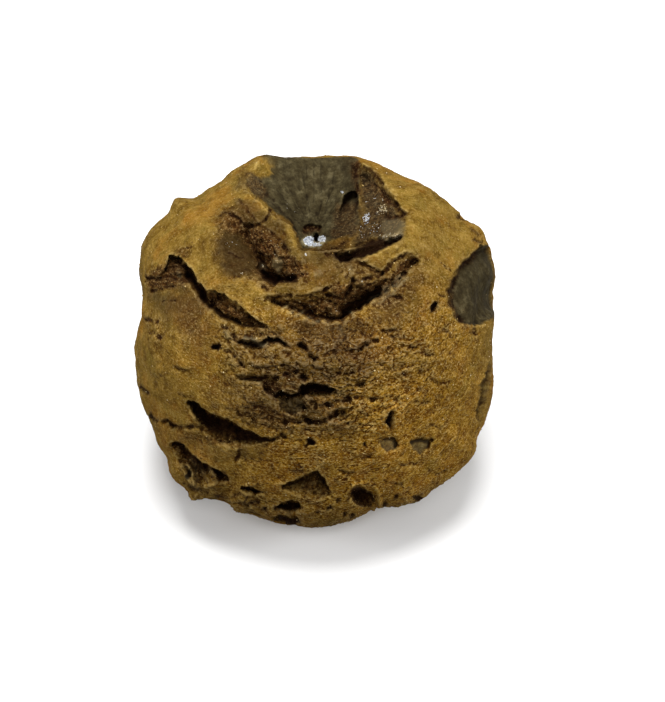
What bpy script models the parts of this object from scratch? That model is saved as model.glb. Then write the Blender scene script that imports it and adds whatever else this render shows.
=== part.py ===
"""Fossil conifer cone: one piece of stone, a squat barrel with a crater round its hollow axis.

Sizes are in millimetres in this file and in metres in the scene.  +Z is up, the
front is -Y, and the origin is in the middle of the worn flat that the cone stands on.
"""

import math

import bmesh
import bpy
import numpy as np
from mathutils import Matrix, Vector
from mathutils.bvhtree import BVHTree

MM = 0.001

# ------------------------------------------------------------------- the barrel
HALF_X = 20.0  # half the width
HALF_Y = 19.6  # half the depth, front to back
HALF_TOP = 18.3  # from the widest level up to the summit
HALF_LOW = 18.4  # from the widest level down to where the form would close
WIDE_Z = 17.4  # the widest level above the flat
SQUARE_TOP = 2.55  # how square the shoulders are: 2 is an ellipsoid
SQUARE_LOW = 2.6
GRID = 21  # faces along each edge of the cube that is blown up into the barrel

# Swollen and worn places on the barrel: azimuth and elevation about its centre in
# degrees (azimuth 0 is the front, 90 the right-hand side), spread in degrees, height.
SWELLINGS = (
    (108, 28, 16, 1.3),
    (248, 32, 15, 1.4),
    (206, 47, 14, 1.0),
    (157, 46, 16, 0.7),
    (268, 15, 9, -0.8),
    (307, -33, 13, 1.1),
    (24, -41, 13, -0.8),
    (60, -29, 16, 0.9),
)

# ------------------------------------------------- the crater round the hollow axis
CRATER_X, CRATER_Y = -0.2, 2.1
CRATER_R = 8.2  # at the rim's level
CRATER_RIM_Z = 35.2
CRATER_FLOOR_Z = 29.4
CRATER_FLOOR_R = 1.2
CRATER_SIDES = 40

# --------------------------------------- gaps under scale edges, and broken hollows
# name, azimuth and elevation of the middle, length, width, depth, and how far the
# length is turned up from level, in degrees.
HOLLOWS = (
    ("left_gape", -46, 63, 8.4, 4.4, 1.6, 0),
    ("under_lip", -42, 47, 10.4, 2.0, 2.0, -5),
    ("right_band", 25, 55, 12.4, 2.2, 1.6, 7),
    ("long_slot", -25, 10, 11.4, 1.8, 1.8, -3),
    ("left_slot", -42, -15, 9.0, 2.0, 1.8, 4),
    ("eye_slot", -3, 24, 5.8, 1.2, 1.6, 7),
    ("low_hole", -2, -10, 5.0, 1.6, 1.6, 10),
    ("round_hole", 16, -19, 2.4, 2.0, 1.6, 0),
    ("side_scar", 77, 32, 8.0, 5.4, 0.7, 62),
    ("niche", 66, -5, 3.5, 1.2, 1.0, 84),
)

# Gaps on the back, in staggered rows like the scales themselves:
# elevation, first azimuth, step in azimuth, number.
BACK_ROWS = ((31, 128, 47, 3), (3, 104, 49, 4), (-27, 130, 52, 3))
BACK_GAP = (6.8, 1.4, 1.4)  # length, width, depth


def direction(azimuth, elevation):
    a, e = math.radians(azimuth), math.radians(elevation)
    return np.array((math.cos(e) * math.sin(a), -math.cos(e) * math.cos(a), math.sin(e)))


def barrel(d):
    """Points of the barrel in mm for unit directions d from its centre."""
    top = d[:, 2] > 0
    n = np.where(top, SQUARE_TOP, SQUARE_LOW)
    c = np.where(top, HALF_TOP, HALF_LOW)
    flat = np.hypot(d[:, 0] / HALF_X, d[:, 1] / HALF_Y)
    r = (flat**n + (np.abs(d[:, 2]) / c) ** n) ** (-1.0 / n)
    for azimuth, elevation, spread, height in SWELLINGS:
        away = np.degrees(np.arccos(np.clip(d @ direction(azimuth, elevation), -1, 1)))
        r = r + height * np.exp(-((away / spread) ** 2))
    return d * r[:, None] + (0.0, 0.0, WIDE_Z)


def new_object(name, bm, collection):
    mesh = bpy.data.meshes.new(name)
    bm.to_mesh(mesh)
    bm.free()
    obj = bpy.data.objects.new(name, mesh)
    collection.objects.link(obj)
    return obj


def new_cutter(name, bm, collection):
    obj = new_object("cut_" + name, bm, collection)
    obj.hide_render = True
    obj.display_type = "WIRE"
    return obj


def standing_barrel():
    """A cube blown up into the barrel, and cut off level at the flat it stands on."""
    bm = bmesh.new()
    bmesh.ops.create_cube(bm, size=2.0)
    bmesh.ops.subdivide_edges(bm, edges=bm.edges[:], cuts=GRID - 1, use_grid_fill=True)
    d = np.tan(np.array([v.co for v in bm.verts]) * (math.pi / 4))
    d /= np.linalg.norm(d, axis=1)[:, None]
    for vert, place in zip(bm.verts, barrel(d)):
        vert.co = Vector(place) * MM
    geom = bm.verts[:] + bm.edges[:] + bm.faces[:]
    cut = bmesh.ops.bisect_plane(
        bm, geom=geom, dist=1e-7, plane_co=(0, 0, 0), plane_no=(0, 0, -1), clear_outer=True
    )
    rim = [e for e in cut["geom_cut"] if isinstance(e, bmesh.types.BMEdge)]
    bmesh.ops.contextual_create(bm, geom=rim)
    return bm


def crater_cutter(collection):
    """A cone that goes on widening above the rim's level, clear of the stone."""
    slope = (CRATER_R - CRATER_FLOOR_R) / (CRATER_RIM_Z - CRATER_FLOOR_Z)
    height = CRATER_RIM_Z - CRATER_FLOOR_Z + 4.0
    bm = bmesh.new()
    bmesh.ops.create_cone(
        bm,
        cap_ends=True,
        segments=CRATER_SIDES,
        radius1=CRATER_FLOOR_R * MM,
        radius2=(CRATER_FLOOR_R + slope * height) * MM,
        depth=height * MM,
    )
    middle = Vector((CRATER_X, CRATER_Y, CRATER_FLOOR_Z + height / 2))
    bmesh.ops.translate(bm, verts=bm.verts, vec=middle * MM)
    return new_cutter("crater", bm, collection)


def hollow_cutter(name, azimuth, elevation, length, width, depth, turn, tree, collection):
    """A lens laid along the barrel's surface, half of it inside the stone."""
    centre = Vector((0, 0, WIDE_Z)) * MM
    out = Vector(direction(azimuth, elevation))
    place, normal, _, _ = tree.ray_cast(centre + out * 0.1, -out)
    across = Vector((0, 0, 1)).cross(normal).normalized()
    frame = Matrix((across, normal.cross(across), normal)).transposed().to_4x4()
    frame.translation = place
    bm = bmesh.new()
    bmesh.ops.create_uvsphere(bm, u_segments=14, v_segments=8, radius=MM)
    size = Matrix.Diagonal((length / 2, width / 2, depth, 1.0))
    turned = Matrix.Rotation(math.radians(turn), 4, "Z")
    bmesh.ops.transform(bm, verts=bm.verts, matrix=frame @ turned @ size)
    return new_cutter(name, bm, collection)


def back_hollows():
    rows = []
    for elevation, first, step, count in BACK_ROWS:
        for k in range(count):
            turn = 7.0 if (k + len(rows)) % 2 else -9.0
            rows.append(
                ("back_%02d" % len(rows), first + k * step, elevation, *BACK_GAP, turn)
            )
    return rows


def stone_material():
    mat = bpy.data.materials.new("ochre_stone")
    mat.use_nodes = True
    shader = mat.node_tree.nodes["Principled BSDF"]
    shader.inputs["Base Color"].default_value = (0.42, 0.25, 0.06, 1.0)
    shader.inputs["Roughness"].default_value = 0.85
    shader.inputs["Metallic"].default_value = 0.0
    return mat


def main():
    for obj in list(bpy.data.objects):
        bpy.data.objects.remove(obj, do_unlink=True)
    parts = bpy.data.collections.new("fossil_cone_part")
    cutters = bpy.data.collections.new("cutters")
    bpy.context.scene.collection.children.link(parts)
    bpy.context.scene.collection.children.link(cutters)

    bm = standing_barrel()
    tree = BVHTree.FromBMesh(bm)
    cone = new_object("fossil_cone", bm, parts)
    cone.data.materials.append(stone_material())
    cone.data.shade_smooth()
    cone.data.set_sharp_from_angle(angle=math.radians(35))

    tools = [crater_cutter(cutters)]
    for row in (*HOLLOWS, *back_hollows()):
        tools.append(hollow_cutter(*row, tree, cutters))
    for tool in tools:
        cutting = cone.modifiers.new(tool.name, "BOOLEAN")
        cutting.operation = "DIFFERENCE"
        cutting.object = tool


main()
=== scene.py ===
import math

import bmesh
import bpy
import numpy as np
from mathutils import Matrix, Vector
from mathutils.bvhtree import BVHTree
from mathutils.kdtree import KDTree


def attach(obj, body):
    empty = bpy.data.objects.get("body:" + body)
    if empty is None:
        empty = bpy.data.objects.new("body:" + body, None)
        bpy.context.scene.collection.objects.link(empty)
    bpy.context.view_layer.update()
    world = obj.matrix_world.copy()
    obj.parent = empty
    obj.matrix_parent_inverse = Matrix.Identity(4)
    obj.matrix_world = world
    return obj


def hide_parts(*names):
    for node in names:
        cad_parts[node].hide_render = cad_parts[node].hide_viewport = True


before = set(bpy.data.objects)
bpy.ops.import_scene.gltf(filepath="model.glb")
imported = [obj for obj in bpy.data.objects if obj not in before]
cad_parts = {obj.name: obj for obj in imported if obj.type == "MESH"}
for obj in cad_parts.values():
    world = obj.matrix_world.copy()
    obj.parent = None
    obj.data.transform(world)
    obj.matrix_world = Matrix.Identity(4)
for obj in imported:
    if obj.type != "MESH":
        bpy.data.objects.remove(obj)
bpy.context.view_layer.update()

F32 = np.float32

# Shapes are worked out in millimetres in the row frame; the meshes are made in metres.

# ---------------------------------------------------------------------------------
# Camera, as a pinhole: the same numbers place the camera and carry points on the
# stone to the frame (u to the right and v down, in the frame's pixels).
# ---------------------------------------------------------------------------------
FRAME_W, FRAME_H = 665, 702
WIDE_Z = 17.4
CENTRE = np.array((0.0, 0.0, WIDE_Z))
CENTRE_UV = (314.5, 341.0)
MM_PER_PX = 0.1114  # at the stone's centre
DISTANCE = 260.0
TILT = math.radians(40.0)
RIGHT = np.array((1.0, 0.0, 0.0))
AHEAD = np.array((0.0, math.cos(TILT), -math.sin(TILT)))
UPWARD = np.array((0.0, math.sin(TILT), math.cos(TILT)))
MID_UV = (FRAME_W / 2, FRAME_H / 2)
AIM = (
    CENTRE
    + (MID_UV[0] - CENTRE_UV[0]) * MM_PER_PX * RIGHT
    - (MID_UV[1] - CENTRE_UV[1]) * MM_PER_PX * UPWARD
)
EYE = AIM - DISTANCE * AHEAD
FOCAL_PX = DISTANCE / MM_PER_PX


def look(p):
    """Frame coordinates of points, and their distance along the camera's axis."""
    q = p - EYE
    depth = q @ AHEAD
    u = MID_UV[0] + FOCAL_PX * (q @ RIGHT) / depth
    v = MID_UV[1] - FOCAL_PX * (q @ UPWARD) / depth
    return u, v, depth


# ---------------------------------------------------------------------------------
# Small tools
# ---------------------------------------------------------------------------------
def smooth(lo, hi, x):
    t = np.clip((x - lo) / (hi - lo), 0.0, 1.0)
    return t * t * (3.0 - 2.0 * t)


def unit_rows(a):
    return a / np.maximum(np.linalg.norm(a, axis=1), 1e-9)[:, None]


_rng = np.random.RandomState(11)
PERM = _rng.permutation(256).astype(np.int32)
GRAD = _rng.normal(size=(256, 3))
GRAD = (GRAD / np.linalg.norm(GRAD, axis=1)[:, None]).astype(F32)
JIT = _rng.random_sample((256, 3)).astype(F32)


def _hash(ix, iy, iz):
    return PERM[(PERM[(PERM[ix & 255] + iy) & 255] + iz) & 255]


def noise(p, freq, seed=0.0):
    """Gradient noise, about -1 to 1. freq may be a number or three."""
    q = (p * np.asarray(freq, F32) + F32(seed * 13.7)).astype(F32)
    base = np.floor(q)
    f = q - base
    i = base.astype(np.int32)
    w = f * f * f * (f * (f * 6 - 15) + 10)
    out = np.zeros(len(p), F32)
    for dx in (0, 1):
        wx = w[:, 0] if dx else 1 - w[:, 0]
        for dy in (0, 1):
            wxy = wx * (w[:, 1] if dy else 1 - w[:, 1])
            for dz in (0, 1):
                g = GRAD[_hash(i[:, 0] + dx, i[:, 1] + dy, i[:, 2] + dz)]
                dot = g[:, 0] * (f[:, 0] - dx) + g[:, 1] * (f[:, 1] - dy) + g[:, 2] * (f[:, 2] - dz)
                out += wxy * (w[:, 2] if dz else 1 - w[:, 2]) * dot
    return out * F32(1.7)


def fbm(p, freq, octaves, seed=0.0, gain=0.5, ridged=False):
    out = np.zeros(len(p), F32)
    amp, total = 1.0, 0.0
    f = np.asarray(freq, F32)
    for k in range(octaves):
        n = noise(p, f, seed + 3.1 * k)
        out += amp * ((1 - 2 * np.abs(n)) if ridged else n)
        total += amp
        amp *= gain
        f = f * F32(2.03)
    return out / F32(total)


def cells(p, freq, seed=0.0):
    """Distance to the nearest and second nearest of scattered points, in cells, and a number for each nearest one."""
    q = (p * np.asarray(freq, F32) + F32(seed * 7.3)).astype(F32)
    base = np.floor(q)
    i = base.astype(np.int32)
    f = q - base
    n = len(p)
    near = np.full(n, 9.0, F32)
    second = np.full(n, 9.0, F32)
    name = np.zeros(n, np.int32)
    for dx in (-1, 0, 1):
        for dy in (-1, 0, 1):
            for dz in (-1, 0, 1):
                h = _hash(i[:, 0] + dx, i[:, 1] + dy, i[:, 2] + dz)
                j = JIT[h]
                d = (
                    (j[:, 0] + dx - f[:, 0]) ** 2
                    + (j[:, 1] + dy - f[:, 1]) ** 2
                    + (j[:, 2] + dz - f[:, 2]) ** 2
                )
                closer = d < near
                second = np.where(closer, near, np.minimum(second, d))
                name = np.where(closer, h, name)
                near = np.where(closer, d, near)
    return np.sqrt(near), np.sqrt(second), name


def chips(p, freq, seed=0.0, tilt=1.0):
    """Broken facets: every cell a plane of its own slope and height, about -1 to 1, and how near its edge is."""
    q = (p * np.asarray(freq, F32) + F32(seed * 7.3)).astype(F32)
    base = np.floor(q)
    i = base.astype(np.int32)
    f = q - base
    n = len(p)
    near = np.full(n, 9.0, F32)
    second = np.full(n, 9.0, F32)
    name = np.zeros(n, np.int32)
    off = np.zeros((n, 3), F32)
    for dx in (-1, 0, 1):
        for dy in (-1, 0, 1):
            for dz in (-1, 0, 1):
                h = _hash(i[:, 0] + dx, i[:, 1] + dy, i[:, 2] + dz)
                j = JIT[h]
                o = f - np.array((dx, dy, dz), F32) - j
                d = np.einsum("ij,ij->i", o, o)
                closer = d < near
                second = np.where(closer, near, np.minimum(second, d))
                name = np.where(closer, h, name)
                off = np.where(closer[:, None], o, off)
                near = np.where(closer, d, near)
    slope = np.einsum("ij,ij->i", off, GRAD[PERM[name]])
    level = JIT[name, 1] - 0.5
    return 1.3 * tilt * slope + 1.2 * level, np.sqrt(second) - np.sqrt(near)


# ---------------------------------------------------------------------------------
# The plain barrel, as in the CAD part, and its outline as the camera sees it
# ---------------------------------------------------------------------------------
HALF_X, HALF_Y, HALF_TOP, HALF_LOW = 20.0, 19.6, 18.3, 18.4
SQUARE_TOP, SQUARE_LOW = 2.55, 2.6
SWELLINGS = (
    (108, 28, 16, 1.3),
    (248, 32, 15, 1.4),
    (206, 47, 14, 1.0),
    (157, 46, 16, 0.7),
    (268, 15, 9, -0.8),
    (307, -33, 13, 1.1),
    (24, -41, 13, -0.8),
    (60, -29, 16, 0.9),
)


def direction(azimuth, elevation):
    a, e = math.radians(azimuth), math.radians(elevation)
    return np.array((math.cos(e) * math.sin(a), -math.cos(e) * math.cos(a), math.sin(e)))


def form_radius(d):
    top = d[:, 2] > 0
    n = np.where(top, SQUARE_TOP, SQUARE_LOW)
    c = np.where(top, HALF_TOP, HALF_LOW)
    flat = np.hypot(d[:, 0] / HALF_X, d[:, 1] / HALF_Y)
    r = (flat**n + (np.abs(d[:, 2]) / c) ** n) ** (-1.0 / n)
    for azimuth, elevation, spread, height in SWELLINGS:
        away = np.degrees(np.arccos(np.clip(d @ direction(azimuth, elevation), -1, 1)))
        r = r + height * np.exp(-((away / spread) ** 2))
    return r


def form_value(p):
    q = p - CENTRE
    r = np.maximum(np.linalg.norm(q, axis=1), 1e-6)
    return r / form_radius(q / r[:, None])


def form_normal(p):
    """Outward normals of the barrel blown up or down to pass through each point."""
    h = 0.05
    base = form_value(p)
    g = np.stack([form_value(p + h * axis) - base for axis in np.eye(3)], 1)
    return unit_rows(g)


# Outline radii in pixels about CENTRE_UV, every 5 degrees, anticlockwise from the right.
OUTLINE = (
    178, 181.5, 183.5, 186.5, 196.5, 199, 198.5, 196.5, 192, 190.5, 189.5, 190,
    188, 187, 188.5, 189.5, 189, 186, 184, 185, 187, 193, 191.5, 190.5,
    184.5, 185.5, 185, 195, 193.5, 197.5, 197.5, 193, 186, 178, 175, 173.5,
    177, 177.5, 178.5, 182, 183, 183.5, 184.5, 187.5, 188, 197, 197, 193,
    182, 188, 183.5, 185, 187, 186, 186, 185, 183, 180, 177.5, 183,
    189.5, 192, 190, 192.5, 193.5, 196, 189, 188.5, 187, 185.5, 182, 178.5,
)  # fmt: skip


def round_table(angles, table):
    """Periodic Catmull-Rom through a table spaced evenly round the circle."""
    table = np.asarray(table, float)
    n = len(table)
    at = np.mod(angles, 2 * math.pi) / (2 * math.pi) * n
    i = np.floor(at).astype(int)
    t = at - i
    a, b, c, d = (table[(i + k) % n] for k in (-1, 0, 1, 2))
    return b + 0.5 * t * (c - a + t * (2 * a - 5 * b + 4 * c - d + t * (3 * (b - c) + d - a)))


def own_outline():
    az, el = np.meshgrid(
        np.radians(np.arange(0, 360, 0.5)), np.radians(np.arange(-89.5, 90, 0.5))
    )
    az, el = az.ravel(), el.ravel()
    d = np.stack((np.cos(el) * np.sin(az), -np.cos(el) * np.cos(az), np.sin(el)), 1)
    u, v, _ = look(CENTRE + d * form_radius(d)[:, None])
    x, y = u - CENTRE_UV[0], CENTRE_UV[1] - v
    angle, reach = np.degrees(np.arctan2(y, x)) % 360, np.hypot(x, y)
    slot = np.round(angle / 5).astype(int)
    close = np.abs(angle - slot * 5) < 0.8
    slot %= 72
    return np.array([reach[close & (slot == k)].max() for k in range(72)])


OWN_OUTLINE = own_outline()


def fit_outline(p):
    """Moves points across the line of sight near the rim, so that the form has OUTLINE."""
    u, v, depth = look(p)
    x, y = u - CENTRE_UV[0], CENTRE_UV[1] - v
    angle, reach = np.arctan2(y, x), np.hypot(x, y)
    own = round_table(angle, OWN_OUTLINE)
    change = round_table(angle, OUTLINE) / own - 1.0
    change *= smooth(0.62, 0.97, reach / own)
    facing = -np.einsum("ij,ij->i", form_normal(p), unit_rows(p - EYE))
    change *= smooth(-0.42, -0.02, facing)
    scale = change * depth / FOCAL_PX
    return p + (scale * x)[:, None] * RIGHT + (scale * y)[:, None] * UPWARD


# ---------------------------------------------------------------------------------
# Strokes: every carved or raised feature is a stroke on a canvas.  A canvas gives
# points flat coordinates (the camera's frame for what the camera sees, a tangent
# plane in millimetres elsewhere), a weight, and a direction into the stone.
# ---------------------------------------------------------------------------------
# Of these tints, four carry painted light: the darkest is painted shadow in slots, holes and under lips besides dark
# joints in cracks; one greys and darkens for dirt and for painted shade; one is a painted highlight on raised rims
# besides wear; the last is painted light that brightens broad areas.
TINTS = ("grey", "brown", "dark", "pale", "smooth", "lamina", "stain", "worn", "clean")


class Field:
    """Points being shaped: how far each has to move, and how each is coloured.

    work is "form" for the large shapes, "fine" for what is cut into them once they
    are made, and "tint" for colours only.
    """

    def __init__(self, p, work):
        self.p = p
        self.n = len(p)
        self.work = work
        self.move = np.zeros((self.n, 3))
        self.tint = {t: np.zeros(self.n, F32) for t in TINTS}


class Canvas:
    def __init__(self, field, u, v, weight, into, right, up, wobble, mm, seed=0.0):
        self.f = field
        self.w = weight
        self.into, self.right, self.up = into, right, up
        self.mm = mm  # millimetres in one unit of u and v
        self.on = weight > 0.004
        self.level(False)
        flat = np.stack((u * mm, v * mm, np.full(len(u), 0.37 + seed)), 1).astype(F32)
        self.flat = flat
        i = np.nonzero(self.on)[0]
        wob = np.zeros((len(u), 2))
        q = flat[i]
        wob[i, 0] = 0.8 * noise(q, 0.42, 1) + 0.7 * noise(q, 1.05, 2) + 0.55 * noise(q, 2.3, 3) + 0.35 * noise(q, 4.6, 21)
        wob[i, 1] = 0.8 * noise(q, 0.42, 4) + 0.7 * noise(q, 1.05, 5) + 0.55 * noise(q, 2.3, 6) + 0.35 * noise(q, 4.6, 22)
        self.rag = np.zeros(len(u), F32)
        self.rag[i] = noise(q, 2.0, 8) + 0.6 * noise(q, 4.2, 9)
        self.run = np.zeros(len(u), F32)
        self.run[i] = noise(q, 0.8, 23) + 0.5 * noise(q, 1.9, 24)
        self.x = np.stack((u, v), 1) + wob * wobble

    def level(self, fine):
        self.carving = self.f.work == ("fine" if fine else "form")
        self.dyeing = self.f.work == "tint"

    def near(self, pts, margin):
        if not (self.carving or self.dyeing):
            return ()
        pts = np.asarray(pts, float)
        lo, hi = pts.min(0) - margin, pts.max(0) + margin
        x = self.x
        return np.nonzero(
            self.on
            & (x[:, 0] > lo[0])
            & (x[:, 0] < hi[0])
            & (x[:, 1] > lo[1])
            & (x[:, 1] < hi[1])
        )[0]

    def carve(self, i, depth, lift=None, slide=None):
        """depth mm into the stone; lift mm up and slide mm right in the canvas."""
        if not self.carving:
            return
        w = self.w[i]
        self.f.move[i] += (w * depth)[:, None] * self.into[i]
        if lift is not None:
            self.f.move[i] += (w * lift)[:, None] * self.up
        if slide is not None:
            self.f.move[i] += (w * slide)[:, None] * self.right

    def dye(self, i, amount, **tints):
        if not self.dyeing:
            return
        for name, value in tints.items():
            t = self.f.tint[name]
            a = np.clip(self.w[i] * amount * abs(value), 0, 1)
            t[i] = t[i] * (1 - a) + (a if value > 0 else 0)


def to_line(x, pts):
    """Distance to a polyline, place along it from 0 to 1, and side (above is +)."""
    pts = np.asarray(pts, float)
    seg = pts[1:] - pts[:-1]
    length = np.linalg.norm(seg, axis=1)
    start = np.concatenate(([0], np.cumsum(length)))
    best = np.full(len(x), 1e9)
    along = np.zeros(len(x))
    side = np.zeros(len(x))
    for k in range(len(seg)):
        rel = x - pts[k]
        t = np.clip(rel @ seg[k] / max(length[k] ** 2, 1e-9), 0, 1)
        off = rel - t[:, None] * seg[k]
        d = np.hypot(off[:, 0], off[:, 1])
        less = d < best
        best = np.where(less, d, best)
        along = np.where(less, (start[k] + t * length[k]) / start[-1], along)
        cross = rel[:, 0] * seg[k][1] - rel[:, 1] * seg[k][0]
        side = np.where(less, cross, side)
    return best, along, side


def inside(x, pts):
    """Signed distance to a polygon's edge, positive inside."""
    pts = np.asarray(pts, float)
    nxt = np.roll(pts, -1, 0)
    best = np.full(len(x), 1e9)
    odd = np.zeros(len(x), bool)
    for a, b in zip(pts, nxt):
        seg = b - a
        rel = x - a
        t = np.clip(rel @ seg / max(seg @ seg, 1e-9), 0, 1)
        off = rel - t[:, None] * seg
        best = np.minimum(best, np.hypot(off[:, 0], off[:, 1]))
        crosses = (a[1] > x[:, 1]) != (b[1] > x[:, 1])
        if b[1] != a[1]:
            at = (b[0] - a[0]) * (x[:, 1] - a[1]) / (b[1] - a[1]) + a[0]
            odd ^= crosses & (x[:, 0] < at)
    return np.where(odd, best, -best)


def gap(c, lip, far, depth, lift=0.0, slide=0.0, power=1.0, soft=0.8, rough=0.0, steps=0, rim=0.0, worn=0.0, bleed=3.0, shade=(0.12, 0.62), torn=0.9, fade=1.8, **tints):
    """A hollow that ramps down from the far line and ends in a wall, or an overhang, at the lip.

    steps cuts its floor in that many broken ledges along the lip; rim raises the lip's
    edge and paints a highlight on it, and the wear setting rounds it; bleed is how far its
    colours run out past it, torn how ragged its outline is and fade how softly it begins at the far line.
    """
    poly = list(lip) + list(far)[::-1]
    i = c.near(poly, max(4 * soft, 10))
    if not len(i):
        return
    x = c.x[i]
    s = inside(x, poly) + torn * (0.6 * c.rag[i] + 0.5 * c.run[i])
    to_lip, _, _ = to_line(x, lip)
    to_far, _, _ = to_line(x, far)
    t = to_far / (to_far + to_lip + 1e-6)
    wide = soft + fade * smooth(0.55, 0.2, t)
    k = smooth(-wide, wide, s)
    d = depth * t**power
    if rough:
        d = d * (1 + rough * c.rag[i])
    crease = 0.0
    if steps:
        phase = t * steps + 0.75 * c.run[i] + 0.30 * c.rag[i]
        saw = phase - np.floor(phase)
        d = d + 0.85 * depth / steps * (0.5 - saw) * smooth(0.0, 0.25, t)
        crease = smooth(0.75, 0.98, 1 - saw)
    d = d * k
    outer = (1 - k) * np.exp(-np.maximum(-s, 0) / 2.8) * smooth(0.45, 0.8, t)
    if worn:
        d = d + worn * depth * outer
    if rim:
        d = d - rim * outer * np.clip(1 + 0.6 * c.run[i], 0.2, 1.6)
    c.carve(i, d, lift * k * t * t if lift else None, slide * k * t * t if slide else None)
    # painted highlight along the raised rim
    if rim:
        c.dye(i, outer * np.clip(0.7 + 0.8 * c.run[i], 0, 1), worn=1.0)
    ragged = s + bleed * (0.55 * c.rag[i] + 0.25 * c.run[i]) * smooth(0.75, 0.35, t)
    edge = smooth(-bleed, 0.6 * bleed, ragged) * (1 - smooth(0.55, 0.85, t)) + smooth(-soft, soft, s) * smooth(0.55, 0.85, t)
    # painted shadow: the darkest tint is laid from the lip inwards, over the span of t that shade gives
    if "dark" in tints:
        c.dye(i, np.clip(edge * smooth(shade[0], shade[1], t + 0.12 * c.rag[i]), 0, 1), dark=tints.pop("dark"))
    c.dye(i, np.clip(edge * (0.30 + 0.80 * smooth(0.0, 0.55, t) + 0.4 * crease), 0, 1), **tints)


def valley(c, poly, floor, depth, power=1.0, soft=1.2, rough=0.0, **tints):
    """A hollow that is deepest along a line and rises to its edges."""
    i = c.near(poly, 8)
    if not len(i):
        return
    x = c.x[i]
    s = inside(x, poly)
    to_floor, _, _ = to_line(x, floor)
    t = np.maximum(s, 0) / (np.maximum(s, 0) + to_floor + 1e-6)
    d = depth * t**power
    if rough:
        d = d * (1 + rough * c.rag[i])
    c.carve(i, d * smooth(-soft, soft, s))
    c.dye(i, smooth(-2.5, 3.5, s + 2.0 * c.rag[i] + c.run[i]) * (0.30 + 0.70 * smooth(0.0, 0.5, t)), **tints)


def grain(c, poly, turn, fine, depth, **tints):
    """Fibres or thin layers running at an angle inside a patch, fine of them to the millimetre."""
    i = c.near(poly, 2)
    if not len(i):
        return
    s = inside(c.x[i], poly)
    a = math.radians(turn)
    q = c.flat[i]
    along = q[:, 0] * math.cos(a) + q[:, 1] * math.sin(a)
    across = -q[:, 0] * math.sin(a) + q[:, 1] * math.cos(a)
    line = np.stack((across * fine, along * fine * 0.16, q[:, 2]), 1).astype(F32)
    value = noise(line, 1.0, 41) + 0.6 * noise(line, 2.1, 42)
    k = smooth(0.0, 4.0, s)
    c.carve(i, depth * k * value)
    c.dye(i, k * smooth(0.0, 0.6, value), **tints)


def dent(c, poly, depth, soft=1.5, dome=0.0, rough=0.0, ground=None, **tints):
    """A patch sunk, or raised where depth is negative, with a wall soft wide at its edge."""
    i = c.near(poly, 3 * soft)
    if not len(i):
        return
    s = inside(c.x[i], poly)
    k = smooth(-soft, soft, s)
    d = depth + dome * smooth(0, 12, s)
    if rough:
        d = d + rough * c.rag[i]
    c.carve(i, k * d)
    if tints:
        g = soft if ground is None else ground
        c.dye(i, smooth(-g, g, s + 0.5 * g * (c.rag[i] + 0.5 * c.run[i])), **tints)


def crack(c, pts, width, depth, taper=0.12, lift=0.0, wall=0.0, **tints):
    """A groove along a line; wall raises the side above it."""
    reach = width * 3 + (10 if wall else 0)
    i = c.near(pts, reach)
    if not len(i):
        return
    x = c.x[i]
    d, t, side = to_line(x, pts)
    ends = smooth(0, taper, t) * smooth(0, taper, 1 - t) if taper else 1.0
    vary = np.clip(0.85 + 0.9 * c.run[i], 0.15, 1.6)
    g = np.exp(-((d / (width * (0.55 + 0.45 * vary))) ** 2)) * ends
    c.carve(i, depth * g * vary, lift * g if lift else None)
    if wall:
        up = (side > 0) * np.exp(-d / 7.0) * ends * smooth(0, width, d)
        c.carve(i, -wall * up)
    c.dye(i, np.exp(-((d / (1.15 * width)) ** 2)) * ends * np.clip(vary, 0, 1), **tints)


def pit(c, u, v, ru, rv, depth, turn=0.0, power=1.5, edge=(1.25, 0.8), **tints):
    r = max(ru, rv) * 1.8
    i = c.near([(u - r, v - r), (u + r, v + r)], 0)
    if not len(i):
        return
    x = c.x[i] - (u, v)
    a = math.radians(turn)
    x = x @ np.array(((math.cos(a), math.sin(a)), (-math.sin(a), math.cos(a))))
    q = np.hypot(x[:, 0] / ru, x[:, 1] / rv)
    k = np.clip(1 - q**2, 0, 1) ** (1 / power)
    c.carve(i, depth * k)
    c.dye(i, smooth(edge[0], edge[1], q) if len(tints) else 0, **tints)


def lump(c, u, v, ru, rv, height, turn=0.0, **tints):
    r = max(ru, rv) * 2.2
    i = c.near([(u - r, v - r), (u + r, v + r)], 0)
    if not len(i):
        return
    x = c.x[i] - (u, v)
    a = math.radians(turn)
    x = x @ np.array(((math.cos(a), math.sin(a)), (-math.sin(a), math.cos(a))))
    q = (x[:, 0] / ru) ** 2 + (x[:, 1] / rv) ** 2
    k = np.exp(-q)
    c.carve(i, -height * k)
    if tints:
        c.dye(i, k, **tints)


# ---------------------------------------------------------------------------------
# The crater: a cone about the axis, dropped straight down inside its opening
# ---------------------------------------------------------------------------------
CRATER = np.array((-0.15, 3.6, 29.5))
OPENING = (
    (258, 140), (250, 156), (243, 166), (237, 178), (240, 190), (250, 193), (262, 201),
    (270, 208), (280, 215), (290, 221), (295, 233), (300, 245), (304, 249), (320, 250),
    (335, 248), (346, 246), (362, 250), (385, 246), (400, 241), (405, 232), (406, 217),
    (400, 212), (395, 203), (391, 193), (386, 184), (379, 178), (372, 170), (363, 163),
    (358, 140),
)  # fmt: skip


def crater_height(p):
    x = p[:, 0] - CRATER[0]
    y = p[:, 1] - CRATER[1]
    x = x * np.where(x > 0, 0.73, 0.95)
    y = np.where(y < 0, -1.37 * np.maximum(-y - 4.6, 0.0), 0.60 * y)
    return CRATER[2] + 0.73 * np.hypot(x, y)


def open_crater(p, c):
    i = c.near(OPENING, 6)
    s = inside(c.x[i], OPENING)
    k = smooth(-0.9, 0.9, s)
    drop = np.maximum(p[i, 2] - crater_height(p[i]), 0)
    out = p.copy()
    out[i, 2] -= k * drop
    return out


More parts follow.
